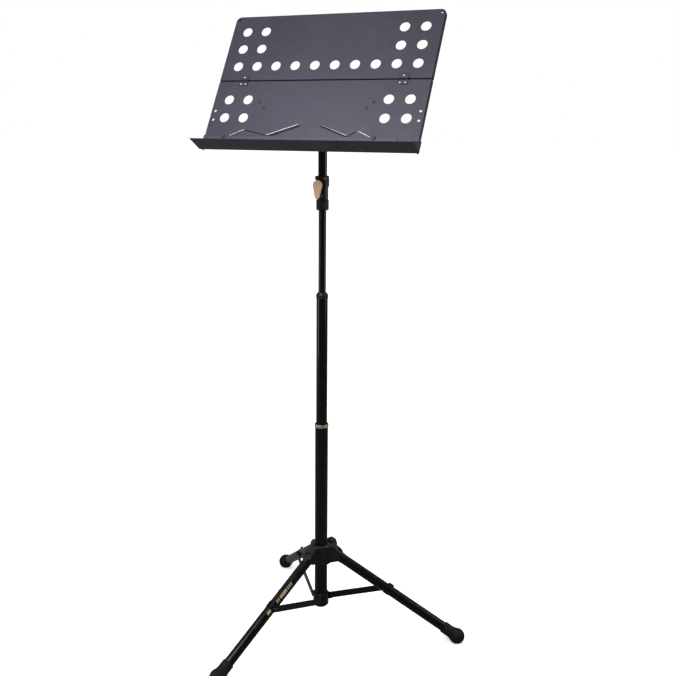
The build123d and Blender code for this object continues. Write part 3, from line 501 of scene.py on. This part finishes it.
def black_plastic():
    """Black glass-filled nylon moulding with an etched grain, greyed along its worn edges."""
    finish = Finish("black_plastic", IOR=1.36)
    tree = finish.tree
    cloud = noise(tree, finish.place, 30.0, 3.0)
    base = mix_colours(tree, cloud, (0.0028, 0.0028, 0.0042, 1), (0.0055, 0.0055, 0.0075, 1))
    base = finish.over(base, (0.06, 0.06, 0.065, 1), worn_and_shaded_edges, Radius=0.0009, Breaks=140.0, Amount=0.45)
    base = finish.over(base, (0.4, 0.39, 0.37, 1), settled_dust, Amount=0.09)
    smear = finish.effect(hand_smears, "Amount", Scale=40.0)
    grain = finish.effect(coating_grain, "Height", Scale=1900.0, Pits=0.8)
    rough = remap(tree, smear, 0.0, 1.0, 0.32, 0.46)
    return finish.set(Base_Color=base, Roughness=rough, Normal=finish.bump(grain, 0.0002, 0.5))


def amber_plastic():
    """Golden amber moulded nylon of the clutch lever, paler along its worn edges."""
    finish = Finish("amber_plastic", IOR=1.5, Subsurface_Weight=0.08, Subsurface_Scale=0.004)
    tree = finish.tree
    cloud = noise(tree, finish.place, 60.0, 3.0)
    base = mix_colours(tree, cloud, (0.58, 0.34, 0.19, 1), (0.68, 0.43, 0.25, 1))
    base = finish.over(base, (0.75, 0.55, 0.3, 1), worn_and_shaded_edges, Radius=0.0012, Breaks=160.0, Amount=0.5)
    smear = finish.effect(hand_smears, "Amount", Scale=90.0)
    grain = finish.effect(coating_grain, "Height", Scale=1500.0, Pits=0.3)
    rough = remap(tree, smear, 0.0, 1.0, 0.28, 0.45)
    return finish.set(Base_Color=base, Roughness=rough, Normal=finish.bump(grain, 0.00012, 0.4))


def amber_metal():
    """Gold-anodised aluminium with turning lines round it."""
    finish = Finish("amber_metal", Metallic=0.85)
    tree = finish.tree
    round_lines = finish.turned_place(no_turn, (0.01, 0.01, 1.0))
    lines = noise(tree, round_lines, 3000.0, 2.0)
    base = mix_colours(tree, lines, (0.42, 0.31, 0.19, 1), (0.6, 0.47, 0.33, 1))
    base = finish.over(base, (0.75, 0.68, 0.55, 1), worn_and_shaded_edges, Radius=0.0006, Breaks=150.0, Amount=0.7)
    smear = finish.effect(hand_smears, "Amount", Scale=60.0)
    rough = remap(tree, smear, 0.0, 1.0, 0.28, 0.45)
    return finish.set(Base_Color=base, Roughness=rough, Normal=finish.bump(lines, 0.00004, 0.5))


def gold_print():
    """Pale gold ink on the enamel, thin enough that some black shows through."""
    finish = Finish("gold_print", IOR=1.48)
    tree = finish.tree
    thin = remap(tree, noise(tree, finish.place, 900.0, 3.0), 0.4, 0.75)
    base = mix_colours(tree, thin, (0.36, 0.25, 0.15, 1), (0.16, 0.11, 0.065, 1))
    base = finish.over(base, (0.02, 0.018, 0.015, 1), hair_scratches, Amount=0.6)
    smear = finish.effect(hand_smears, "Amount", Scale=80.0)
    grain = finish.effect(coating_grain, "Height", Scale=1800.0, Pits=0.2)
    rough = remap(tree, smear, 0.0, 1.0, 0.35, 0.5)
    return finish.set(Base_Color=base, Roughness=rough, Normal=finish.bump(grain, 0.0001, 0.3))


def black_rubber():
    """Black rubber, matt and slightly greyed, scuffed and dusty where it meets the floor."""
    finish = Finish("black_rubber", IOR=1.3)
    tree = finish.tree
    cloud = noise(tree, finish.place, 70.0, 5.0)
    base = mix_colours(tree, cloud, (0.0035, 0.0035, 0.0036, 1), (0.0065, 0.0065, 0.0066, 1))
    height = add_node(tree, "ShaderNodeSeparateXYZ", {0: finish.place}).outputs["Z"]
    scuffs = remap(tree, noise(tree, finish.place, 260.0, 5.0, 0.5), 0.42, 0.7)
    low = work_out(tree, "MULTIPLY", remap(tree, height, 0.014, 0.0), scuffs)
    base = mix_colours(tree, work_out(tree, "MULTIPLY", low, 0.5), base, (0.12, 0.115, 0.105, 1))
    base = finish.over(base, (0.3, 0.29, 0.275, 1), settled_dust, Amount=0.025)
    smear = finish.effect(hand_smears, "Amount", Scale=50.0)
    grain = finish.effect(coating_grain, "Height", Scale=1100.0, Pits=0.6)
    rough = remap(tree, smear, 0.0, 1.0, 0.6, 0.8)
    return finish.set(Base_Color=base, Roughness=rough, Normal=finish.bump(grain, 0.00025, 0.5))


def bright_steel(name, dark, light, roughness, line_turn):
    """Plated steel: a metal with fine lines, small stains and brighter edges."""
    finish = Finish(name, Metallic=1.0)
    tree = finish.tree
    lines = finish.effect(draw_lines, "Height", Place=finish.turned_place(line_turn), Scale=2200.0)
    base = mix_colours(tree, lines, dark, light)
    stain = remap(tree, noise(tree, finish.place, 320.0, 5.0), 0.58, 0.8)
    base = mix_colours(tree, work_out(tree, "MULTIPLY", stain, 0.35), base, (0.2, 0.18, 0.15, 1))
    base = finish.over(base, (0.75, 0.75, 0.76, 1), worn_and_shaded_edges, Radius=0.0004, Breaks=300.0, Amount=0.5)
    smear = finish.effect(hand_smears, "Amount", Scale=70.0)
    rough = remap(tree, smear, 0.0, 1.0, roughness, roughness + 0.16)
    return finish.set(Base_Color=base, Roughness=rough, Normal=finish.bump(lines, 0.00003, 0.4))


def nylon():
    """Grey-black nylon of bushes and washers, faintly translucent, with sliding marks."""
    finish = Finish("nylon", IOR=1.53, Subsurface_Weight=0.05, Subsurface_Scale=0.002)
    tree = finish.tree
    cloud = noise(tree, finish.place, 80.0, 3.0)
    base = mix_colours(tree, cloud, (0.03, 0.03, 0.031, 1), (0.05, 0.05, 0.052, 1))
    along = finish.turned_place(quarter_turn)
    base = finish.over(base, (0.12, 0.12, 0.12, 1), hair_scratches, Place=along, Scale=90.0, Amount=0.7)
    base = finish.over(base, (0.3, 0.29, 0.275, 1), settled_dust, Amount=0.12)
    smear = finish.effect(hand_smears, "Amount", Scale=60.0)
    grain = finish.effect(coating_grain, "Height", Scale=1600.0, Pits=0.3)
    rough = remap(tree, smear, 0.0, 1.0, 0.4, 0.55)
    return finish.set(Base_Color=base, Roughness=rough, Normal=finish.bump(grain, 0.00015, 0.4))


finishes = {
    "desk_paint": desk_paint(),
    "black_paint": black_paint(),
    "black_plastic": black_plastic(),
    "amber_plastic": amber_plastic(),
    "amber_metal": amber_metal(),
    "gold_print": gold_print(),
    "black_rubber": black_rubber(),
    "steel": bright_steel("steel", (0.26, 0.26, 0.27, 1), (0.42, 0.42, 0.43, 1), 0.34, no_turn),
    "wire": bright_steel("wire", (0.5, 0.49, 0.53, 1), (0.7, 0.69, 0.73, 1), 0.4, quarter_turn),
    "black_steel": bright_steel("black_steel", (0.03, 0.03, 0.033, 1), (0.06, 0.06, 0.064, 1), 0.34, no_turn),
    "nylon": nylon(),
}

slot_of = {part["node"]: part["material_slot"] for part in frame["record"]["subparts"]}
for name, node in frame["nodes"].items():
    for material_slot in node.material_slots:
        material_slot.material = finishes[slot_of[name]]


# ---------------------------------------------------------------- camera, lights and floor


def place_camera():
    """Camera at standing eye level, to the right in front of the stand, looking slightly down."""
    yaw, pitch, roll = radians(-23.48), radians(12.78), radians(0.456)
    forward = np.array((sin(yaw) * cos(pitch), cos(yaw) * cos(pitch), -sin(pitch)))
    level = np.array((cos(yaw), -sin(yaw), 0.0))
    above = np.cross(level, forward)
    right = cos(roll) * level + sin(roll) * above
    top = cos(roll) * above - sin(roll) * level
    camera = bpy.data.objects.new("camera", bpy.data.cameras.new("camera"))
    camera.data.lens = 49.74
    camera.data.sensor_width = 36.0
    place = (0.8651, -1.8992, 1.1993)
    rows = [[right[k], top[k], -forward[k], place[k]] for k in range(3)]
    camera.matrix_world = Matrix(rows + [[0, 0, 0, 1]])
    bpy.context.scene.collection.objects.link(camera)
    bpy.context.scene.camera = camera


def add_light(name, place, target, width, height, power):
    """Soft rectangular studio light turned towards a target."""
    light = bpy.data.lights.new(name, "AREA")
    light.shape = "RECTANGLE"
    light.size, light.size_y, light.energy = width, height, power
    lamp = bpy.data.objects.new(name, light)
    lamp.visible_camera = False
    back = unit(np.array(place, float) - np.array(target, float))
    side = unit(np.cross(sky, back)) if abs(back[2]) < 0.99 else east
    top = np.cross(back, side)
    rows = [[side[k], top[k], back[k], place[k]] for k in range(3)]
    lamp.matrix_world = Matrix(rows + [[0, 0, 0, 1]])
    bpy.context.scene.collection.objects.link(lamp)


def light_studio():
    """White surroundings for the camera and for diffuse light, nearly black ones in reflections, and
    three soft boxes round the stand."""
    world = bpy.data.worlds.new("studio")
    bpy.context.scene.world = world
    world.use_nodes = True
    tree = world.node_tree
    tree.nodes.clear()
    rays = tree.nodes.new("ShaderNodeLightPath").outputs
    seen = add_node(tree, "ShaderNodeBackground", {"Color": (1, 1, 1, 1), "Strength": 1.0}).outputs[0]
    diffuse = add_node(tree, "ShaderNodeBackground", {"Color": (1, 1, 1, 1), "Strength": 1.05}).outputs[0]
    mirrored = add_node(tree, "ShaderNodeBackground", {"Color": (1, 1, 1, 1), "Strength": 0.07}).outputs[0]
    inputs = {0: rays["Is Glossy Ray"], 1: diffuse, 2: mirrored}
    lit = add_node(tree, "ShaderNodeMixShader", inputs).outputs[0]
    inputs = {0: rays["Is Camera Ray"], 1: lit, 2: seen}
    shown = add_node(tree, "ShaderNodeMixShader", inputs).outputs[0]
    output = tree.nodes.new("ShaderNodeOutputWorld")
    tree.links.new(shown, output.inputs["Surface"])
    add_light("key_box", (-0.35, -1.3, 2.35), (0.0, -0.1, 1.25), 1.1, 0.8, 24)
    add_light("left_strip", (-1.7, -1.1, 0.5), (0.0, 0.0, 0.35), 0.3, 0.7, 7)
    add_light("right_strip", (1.5, 0.4, 1.0), (0.0, 0.0, 1.0), 0.45, 1.0, 6)


def lay_floor():
    """Wide pale floor. Light that leaves it is dimmed, as black screens round the stand would do."""
    half = 60.0
    mesh = bpy.data.meshes.new("floor")
    corners = [(-half, -half, 0), (half, -half, 0), (half, half, 0), (-half, half, 0)]
    mesh.from_pydata(corners, [], [(0, 1, 2, 3)])
    material = bpy.data.materials.new("floor")
    material.use_nodes = True
    tree = material.node_tree
    shader = tree.nodes["Principled BSDF"]
    place = tree.nodes.new("ShaderNodeTexCoord").outputs["Object"]
    cloud = noise(tree, place, 1.5, 3.0)
    pale = mix_colours(tree, cloud, (0.9, 0.9, 0.9, 1), (0.94, 0.94, 0.94, 1))
    rays = tree.nodes.new("ShaderNodeLightPath").outputs
    seen = rays["Is Camera Ray"]
    dimmed = mix_colours(tree, rays["Is Glossy Ray"], (0.07, 0.07, 0.07, 1), (0.18, 0.18, 0.18, 1))
    tree.links.new(mix_colours(tree, seen, dimmed, pale), shader.inputs["Base Color"])
    tree.links.new(mix_colours(tree, seen, (0, 0, 0, 1), (1, 1, 1, 1)), shader.inputs["Emission Color"])
    shader.inputs["Emission Strength"].default_value = 0.24
    shader.inputs["Roughness"].default_value = 0.9
    shader.inputs["Specular IOR Level"].default_value = 0.1
    mesh.materials.append(material)
    floor = bpy.data.objects.new("floor", mesh)
    bpy.context.scene.collection.objects.link(floor)


bpy.context.scene.view_settings.view_transform = "Standard"
place_camera()
light_studio()
lay_floor()


# ---------------------------------------------------------------- mast


def span(node):
    """Outer radius about the mast, and the lowest and highest point, of a CAD node."""
    low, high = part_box(node)
    return (high.x - low.x) / 2, low.z, high.z


def mast_piece(node, outline, body, cut, looped=True):
    """Replace a CAD node by a surface turned about the mast from an outline of (radius, height)."""
    grids = turned(softened(outline, cut, looped), mast_axis, mast_steps)
    add_piece(f"{node}_turned", grids, body, slot_of[node], [node], looped)


def tube_outline(node, wall):
    """Section of a tube's wall, from its own CAD size."""
    radius, low, high = span(node)
    return [(radius - wall, low), (radius, low), (radius, high), (radius - wall, high)]


def tubes():
    """The drawn tubes of the mast, with dressed rims."""
    for node, body, wall in (
        ("lower_tube", "stand_base", tube_wall),
        ("middle_tube", "middle_section", tube_wall),
        ("inner_rod", "middle_section", 1.5 * mm),
        ("desk_post", "desk_support", 1.0 * mm),
    ):
        mast_piece(node, tube_outline(node, wall), body, tube_rim)


def accent_ring():
    """Gold ring at the top of the lower tube: a low barrel with two grooves."""
    outer, low, high = span("accent_ring")
    inner = span("lower_tube")[0]
    bulge = outer - 0.5 * mm
    grooves = (low + 2.0 * mm, high - 2.0 * mm)

    def barrel(radius, height, angle):
        middle = (low + high) / 2
        share = np.clip(1 - ((height - middle) / (high - low) * 2) ** 2, 0, 1)
        cuts = sum(np.exp(-(((height - groove) / (0.25 * mm)) ** 2)) for groove in grooves)
        return np.where(radius > inner + 0.2 * mm, radius + 0.5 * mm * share - 0.35 * mm * cuts, radius)

    wall = np.linspace(low + 0.5 * mm, high - 0.5 * mm, 50)
    face = np.stack([np.full(50, bulge), wall], axis=1)
    ends = [(inner, high), (inner, low)]
    rim = [(bulge - 0.4 * mm, low), (bulge, low + 0.2 * mm)]
    top = [(bulge, high - 0.2 * mm), (bulge - 0.4 * mm, high)]
    outline = np.concatenate([rim, face, top, ends])
    grids = turned(outline, mast_axis, mast_steps, barrel)
    add_piece("accent_ring_turned", grids, "stand_base", "amber_metal", ["accent_ring"], True)


def grip_collar():
    """Collar under the clutch, fluted round its middle for the hand."""
    outer, low, high = span("grip_collar")
    rod_bore = span("inner_rod")[0] + rod_play
    flutes, depth = 28, 0.55 * mm

    def fluted(radius, height, angle):
        band = window(height, low + 5.0 * mm, high - 4.0 * mm, 1.6 * mm)
        groove = (0.5 - 0.5 * np.cos(flutes * angle)) ** 2
        return np.where(radius > rod_bore + 2.0 * mm, radius - depth * band * groove, radius)

    wall = np.linspace(low + 3.2 * mm, high - 1.6 * mm, 40)
    face = np.stack([np.full(40, outer), wall], axis=1)
    foot = [(rod_bore, low), (outer - 2.6 * mm, low)]
    foot += [(outer - 0.7 * mm, low + 0.9 * mm), (outer, low + 2.6 * mm)]
    top = [(outer - 0.2 * mm, high - 0.6 * mm), (outer - 1.0 * mm, high), (rod_bore, high)]
    steps_per_flute = 8
    outline = np.concatenate([foot, face, top])
    grids = turned(outline, mast_axis, flutes * steps_per_flute, fluted)
    add_piece("grip_collar_fluted", grids, "clutch_slider", "black_plastic", ["grip_collar"], True)


def step_ferrule():
    """Cap on the middle tube, with a soft shoulder down to the rod and two grip rings."""
    outer, low, high = span("step_ferrule")
    tube = span("middle_tube")[0]
    rod = span("inner_rod")[0]
    shoulder = span("middle_tube")[2]
    outline = [(tube, low), (outer - 0.2 * mm, low)]
    for ring in (low + 2.4 * mm, low + 4.6 * mm):
        outline += [(outer, ring - 0.8 * mm), (outer - 0.5 * mm, ring), (outer, ring + 0.8 * mm)]
    outline += [(outer, shoulder), (outer - 1.2 * mm, shoulder + 2.0 * mm)]
    outline += [(rod + 1.2 * mm, high), (rod, high), (rod, shoulder), (tube, shoulder)]
    mast_piece("step_ferrule", outline, "middle_section", 0.5 * mm)


def end_cap():
    """Cap pressed into the bottom of the lower tube."""
    outer, low, high = span("tube_end_cap")
    seat = span("lower_tube")[1]
    bore = outer - tube_wall
    outline = [(0, low), (outer - 1.6 * mm, low), (outer, low + 1.5 * mm), (outer, seat), (bore, seat)]
    outline += [(bore, high), (bore - 2.0 * mm, high), (bore - 2.0 * mm, seat), (0, seat)]
    mast_piece("tube_end_cap", outline, "stand_base", 0.5 * mm, False)


tubes()
accent_ring()
grip_collar()
step_ferrule()
end_cap()

# ---------------------------------------------------------------- clutch lever

lever_pin = np.array(joints["clutch_squeeze"]["pos_m"])
lever_out = unit(lever_pin * (1, 1, 0))
lever_across = np.cross(sky, lever_out)
lever_low, lever_high = (corner.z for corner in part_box("clutch_trigger"))


def lever_paddle():
    """Thumb lever: a shield between a wide crown and a narrow foot, crowned across, with thumb ribs."""
    foot = lever_out * (lever_foot_reach - lever_thickness / 2) + sky * lever_low
    top = lever_out * (lever_top_reach - lever_thickness / 2) + sky * lever_high
    middle, along = (foot + top) / 2, unit(top - foot)
    face = np.cross(lever_across, along)
    half = np.linalg.norm(top - foot) / 2
    crown, tip = 12.5 * mm, 6.0 * mm
    rib_pitch, thumb_hollow, waist_reach = 3.4 * mm, 9.0 * mm, 9.0 * mm

    def outer(x, y):
        ribs = 0.5 + 0.5 * np.cos(2 * pi * y / rib_pitch)
        ribs = ribs * window(y, 1.0 * mm, 17.0 * mm, 3.0 * mm) * window(x, -8.5 * mm, 8.5 * mm, 2.5 * mm)
        hollow = np.exp(-((y - thumb_hollow) ** 2 + x**2) / thumb_hollow**2)
        return lever_thickness / 2 - 1.1 * mm * (x / crown) ** 2 - 0.7 * mm * hollow + 0.45 * mm * ribs

    def inner(x, y):
        return -lever_thickness / 2 + 0 * x

    def place(x, y, z):
        waist = x * (1 - 0.2 * np.exp(-(((y + 4.0 * mm) / waist_reach) ** 2)))
        return middle + waist[..., None] * lever_across + y[..., None] * along + z[..., None] * face

    outline = two_circles((0, half - crown), crown, (0, tip - half), tip, 160)
    grids = pillow(outline, outer, inner, 1.1 * mm, place)
    add_piece("lever_paddle", grids, "clutch_lever", "amber_plastic", ["clutch_trigger"])


def lever_tail():
    """Knuckle of the lever round its pin, joined to the paddle."""
    near = np.array((0.0, 0.0))
    far = np.array((4.6 * mm, 0.0))

    def side(x, y):
        return lever_tail_width / 2 + 0 * x

    def place(x, y, z):
        return lever_pin + x[..., None] * lever_out + y[..., None] * sky + z[..., None] * lever_across

    outline = two_circles(near, lever_tail_radius, far, lever_tail_radius - 0.2 * mm)
    grids = pillow(outline - far / 2, side, lambda x, y: -side(x, y), 0.5 * mm, place)
    moved = [grid + far[0] / 2 * lever_out for grid in grids]
    add_piece("lever_tail", moved, "clutch_lever", "amber_plastic")


def housing_ridges():
    """Two moulded rings round the clutch housing, more than half sunk in its wall."""
    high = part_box("clutch_housing")[1]
    wall = high.x
    turn = np.linspace(0, 2 * pi, 16, endpoint=False)
    grids = []
    for height in (high.z - 10.5 * mm, high.z - 13.5 * mm):
        radius = wall - 0.15 * mm + 0.6 * mm * np.cos(turn)
        outline = np.stack([radius, height + 0.8 * mm * np.sin(turn)], axis=1)
        grids += turned(outline, mast_axis, mast_steps)
    add_piece("housing_ridges", grids, "desk_support", "black_plastic", (), True)


lever_paddle()
lever_tail()
housing_ridges()

# ---------------------------------------------------------------- desk fittings


def both_sides(spots):
    """The same places on the left and the right of the desk."""
    return [(side * x, y) for side in (-1, 1) for x, y in spots]


def rivets(node, spots, grip, stand, body):
    """Domed rivets: each head is the arc rise * cos(q) over the radius head * sin(q), and its tail is
    the same arc, flatter and smaller, behind the gripped sheets."""
    q = np.linspace(0, pi / 2, 9)
    dome = np.stack([rivet_head * np.sin(q), rivet_rise * np.cos(q)], axis=1)
    tail = np.stack([rivet_tail * np.cos(q), -grip - rivet_rise * 0.9 * np.sin(q)], axis=1)
    shank = [(rivet_shank, 0.0), (rivet_shank, -grip)]
    outline = np.concatenate([dome, shank, tail])
    places = [(on_desk(x * mm, y * mm, stand), desk_front) for x, y in spots]
    add_piece(f"{node}_domed", turned(outline, places, 28), body, slot_of[node], [node])


def desk_rivets():
    """Rivets of the shelf, the bracket and the two hinges."""
    shelf = -lower_height / mm
    hinge_sheet = 1.2 * mm
    grip = panel_sheet + hinge_sheet
    tray_spots = both_sides([(80, shelf + 8), (235, shelf + 8)])
    bracket_spots = both_sides([(120, -70), (134, -56)])
    bracket_sheet = 2.0 * mm
    rivets("tray_rivets", tray_spots, panel_sheet + tray_sheet, 0, "music_desk")
    rivets("bracket_rivets", bracket_spots, panel_sheet + bracket_sheet, 0, "music_desk")
    hinge_low = both_sides([(182, -8.5), (194, -8.5)])
    rivets("hinge_lower_rivets", hinge_low, grip, hinge_sheet, "music_desk")
    rivets("hinge_upper_rivets", both_sides([(188, 8.5)]), grip, hinge_sheet, "folding_panel")


def page_retainers():
    """Bent wires that turn in the shelf's lip and lie over the pages."""
    shelf = -lower_height
    stops = [
        (retainer_pivot, retainer_front),
        (retainer_pivot, retainer_run),
        (retainer_knee, retainer_run),
        (retainer_rest, retainer_lie),
        (retainer_tip, retainer_lie),
    ]
    for side, name in ((-1, "left"), (1, "right")):
        route = [on_desk(side * x * mm, shelf + y * mm, depth) for (x, y), depth in stops]
        path = softened(route, retainer_bend, steps=12)
        reference = unit(side * east + 2 * desk_up)
        node = f"page_retainer_{name}"
        add_piece(f"{node}_bent", wire(path, wire_radius, reference), f"retainer_{name}", "wire", [node])


def tilt_fasteners():
    """Bolt and nut of the tilt joint: a socket head, a threaded end and a chamfered hexagon."""
    pivot = np.array(joints["desk_tilt"]["pos_m"])
    head_end, shank_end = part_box("tilt_bolt")[0].x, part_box("tilt_bolt")[1].x
    nut_start, nut_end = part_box("tilt_nut")[0].x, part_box("tilt_nut")[1].x
    seat = head_end + 5.0 * mm
    shank, head, socket, pitch = 4.0 * mm, 7.5 * mm, 3.2 * mm, 1.25 * mm

    def bolt_shape(radius, place, angle):
        key = (place < head_end + 3.1 * mm) & (radius < socket * 1.05)
        wave = 0.5 - 0.5 * np.cos(2 * pi * place / pitch - angle)
        cut = 0.45 * mm * wave * window(place, nut_end - 1.0 * mm, shank_end, 0.3 * mm)
        return np.where(key, radius * hexagon(angle) * 0.88, radius - np.where(radius > 3.0 * mm, cut, 0))

    outline = [(0, head_end + 3.0 * mm), (socket, head_end + 3.0 * mm), (socket, head_end)]
    outline += [(head, head_end), (head, seat), (shank, seat), (shank, nut_end - 1.2 * mm)]
    rounded = softened(outline, 0.5 * mm)[:-1]
    thread = np.linspace(nut_end - 1.2 * mm, shank_end - 0.6 * mm, 24)
    threads = np.stack([np.full(24, shank), thread], axis=1)
    end = [(shank - 0.6 * mm, shank_end), (0, shank_end)]
    places = [(pivot, east)]
    grids = turned(np.concatenate([rounded, threads, end]), places, 72, bolt_shape)
    add_piece("tilt_bolt_threaded", grids, "music_desk", "black_steel", ["tilt_bolt"])

    def nut_shape(radius, place, angle):
        flat = 6.5 * mm * hexagon(angle)
        depth = np.minimum(place - nut_start, nut_end - place)
        cone = 6.7 * mm + 1.2 * depth
        return np.where(radius > 5.0 * mm, np.minimum(flat, cone), radius)

    rise = np.linspace(nut_start, nut_end, 16)
    face = np.stack([np.full(16, 7.5 * mm), rise], axis=1)
    outline = np.concatenate([[(shank, nut_start)], face, [(shank, nut_end)]])
    grids = turned(outline, places, 72, nut_shape)
    add_piece("tilt_nut_chamfered", grids, "music_desk", "black_steel", ["tilt_nut"], True)


desk_rivets()
page_retainers()
tilt_fasteners()

# ---------------------------------------------------------------- tripod


def leg_frame(name):
    """Pivot of a leg, the direction down it, the level direction to its left and the one over it."""
    joint = joints[f"leg_fold_{name}"]
    pivot = np.array(joint["pos_m"])
    left = np.array(joint["axis"])
    out = np.cross(left, sky)
    along = cos(leg_slope) * out - sin(leg_slope) * sky
    return pivot, along, left, np.cross(along, left)


def leg_tube(name):
    """Leg tube with dressed rims."""
    pivot, along = leg_frame(name)[:2]
    section = [(leg_radius - tube_wall, leg_start), (leg_radius, leg_start)]
    section += [(leg_radius, leg_length), (leg_radius - tube_wall, leg_length)]
    grids = turned(softened(section, tube_rim, True), [(pivot, along)], 72)
    node = f"leg_tube_{name}"
    add_piece(f"{node}_drawn", grids, f"leg_{name}", "black_paint", [node], True)


def leg_boot(name):
    """Rubber boot: a ribbed neck, a curve out to a round bulb, and a flat where it meets the floor.
    The curve is the cubic whose ends take the neck's and the bulb's radius and slope."""
    pivot, along = leg_frame(name)[:2]
    start, neck = leg_length - 28.0 * mm, leg_radius + 2.5 * mm
    bulb, middle, shoulder = 18.5 * mm, leg_length + 10.0 * mm, 8.0 * mm
    flare_start, flare_end = start + 4.0 * mm, middle - shoulder
    end_radius = np.sqrt(bulb**2 - shoulder**2)
    end_slope = shoulder / end_radius
    distance = np.linspace(start, flare_end, 90)
    width = flare_end - flare_start
    t = np.clip((distance - flare_start) / width, 0, 1)
    rise = (3 * t**2 - 2 * t**3) * (end_radius - neck) + (t**3 - t**2) * width * end_slope
    ribs = sum(np.exp(-(((distance - start - k * mm) / (0.7 * mm)) ** 2)) for k in (3.5, 7.0))
    lip = 0.5 * mm * np.exp(-((distance - start) / (0.8 * mm)) ** 2)
    radius = neck + rise - 0.6 * mm * ribs - lip
    q = np.linspace(np.arcsin(shoulder / bulb), -pi / 2, 40)[1:-1]
    ball = np.stack([bulb * np.cos(q), middle - bulb * np.sin(q)], axis=1)
    inside = [(0, leg_length), (leg_radius, leg_length), (leg_radius, start)]
    body = np.stack([radius, distance], axis=1)
    outline = np.concatenate([inside, body, ball, [(0, middle + bulb)]])
    grids = turned(outline, [(pivot, along)], 64)
    for grid in grids:
        grid[..., 2] = np.maximum(grid[..., 2], 0.0)
    node = f"leg_boot_{name}"
    add_piece(f"{node}_moulded", grids, f"leg_{name}", "black_rubber", [node])


def leg_bolts():
    """Pivot bolts of the legs: a socket head on one side, a closed dome on the other."""
    reach = plug_width / 2 + 0.3 * mm + fork_sheet
    socket, head, shank = 2.3 * mm, 6.0 * mm, 3.0 * mm

    def keyed(radius, place, angle):
        key = (place > reach + 0.8 * mm) & (radius < socket * 1.05)
        return np.where(key, radius * hexagon(angle) * 0.88, radius)

    outline = [(0, reach + 1.0 * mm), (socket, reach + 1.0 * mm), (socket, reach + 3.0 * mm)]
    outline += [(head - 0.6 * mm, reach + 3.0 * mm), (head, reach), (shank, reach)]
    outline += [(shank, -reach), (head, -reach), (head - 1.6 * mm, -reach - 2.4 * mm), (0, -reach - 3.0 * mm)]
    places = [(pivot, left) for pivot, _, left, _ in map(leg_frame, leg_names)]
    grids = turned(softened(outline, 0.5 * mm), places, 72, keyed)
    add_piece("leg_bolts_socketed", grids, "sliding_hub", "black_steel", ["leg_bolts"])


def hub_knob():
    """Lock knob: seven soft lobes between a plain skirt and a domed end with a shallow dimple."""
    axis = np.array(joints["knob_turn"]["axis"])
    base = np.array(joints["knob_turn"]["pos_m"])
    radius, length, lobes = 15.5 * mm, 19.0 * mm, 7

    def lobed(size, place, angle):
        band = window(place, 2.0 * mm, length + 1.0 * mm, 3.0 * mm)
        valley = (0.5 - 0.5 * np.cos(lobes * angle)) ** 1.5
        return size * (1 - 0.13 * band * valley)

    outline = [(0, 0), (radius - 3.2 * mm, 0), (radius - 2.6 * mm, 2.4 * mm), (radius - 0.2 * mm, 4.4 * mm)]
    outline += [(radius - 0.6 * mm, 10.0 * mm), (radius - 1.6 * mm, length - 2.4 * mm)]
    outline += [(radius - 4.6 * mm, length), (3.6 * mm, length - 0.2 * mm), (0, length - 1.2 * mm)]
    grids = turned(softened(outline, 1.8 * mm, steps=9), [(base, axis)], 140, lobed)
    add_piece("hub_knob_lobed", grids, "lock_knob", "black_plastic", ["hub_knob"])


def leg_marks():
    """Plain gold bars printed on the front leg's upper left side, each wrapped round the tube."""
    pivot, along, left, over = leg_frame("front")
    turn, film, sunk = radians(52), 0.12 * mm, 0.3 * mm
    bars = [(80, 3.5), (86, 3.5), (92, 3.5), (98, 26), (127, 3.5), (133, 3.5), (160, 12)]

    def flat(rise):
        return lambda x, y: rise + 0 * x

    for count, (start, length) in enumerate(bars):
        middle = (start + length / 2) * mm

        def place(x, y, z):
            angle = turn + y / leg_radius
            ray = np.cos(angle)[..., None] * over + np.sin(angle)[..., None] * left
            return pivot + (middle + x)[..., None] * along + (leg_radius + z)[..., None] * ray

        outline = bar_outline(length * mm, 7.0 * mm, 0.3, 6.0)
        grids = pillow(outline, flat(film), flat(-sunk), 0.1 * mm, place)
        add_piece(f"leg_mark_{count + 1}", grids, "leg_front", "gold_print")


for leg in leg_names:
    leg_tube(leg)
    leg_boot(leg)
leg_bolts()
hub_knob()
leg_marks()
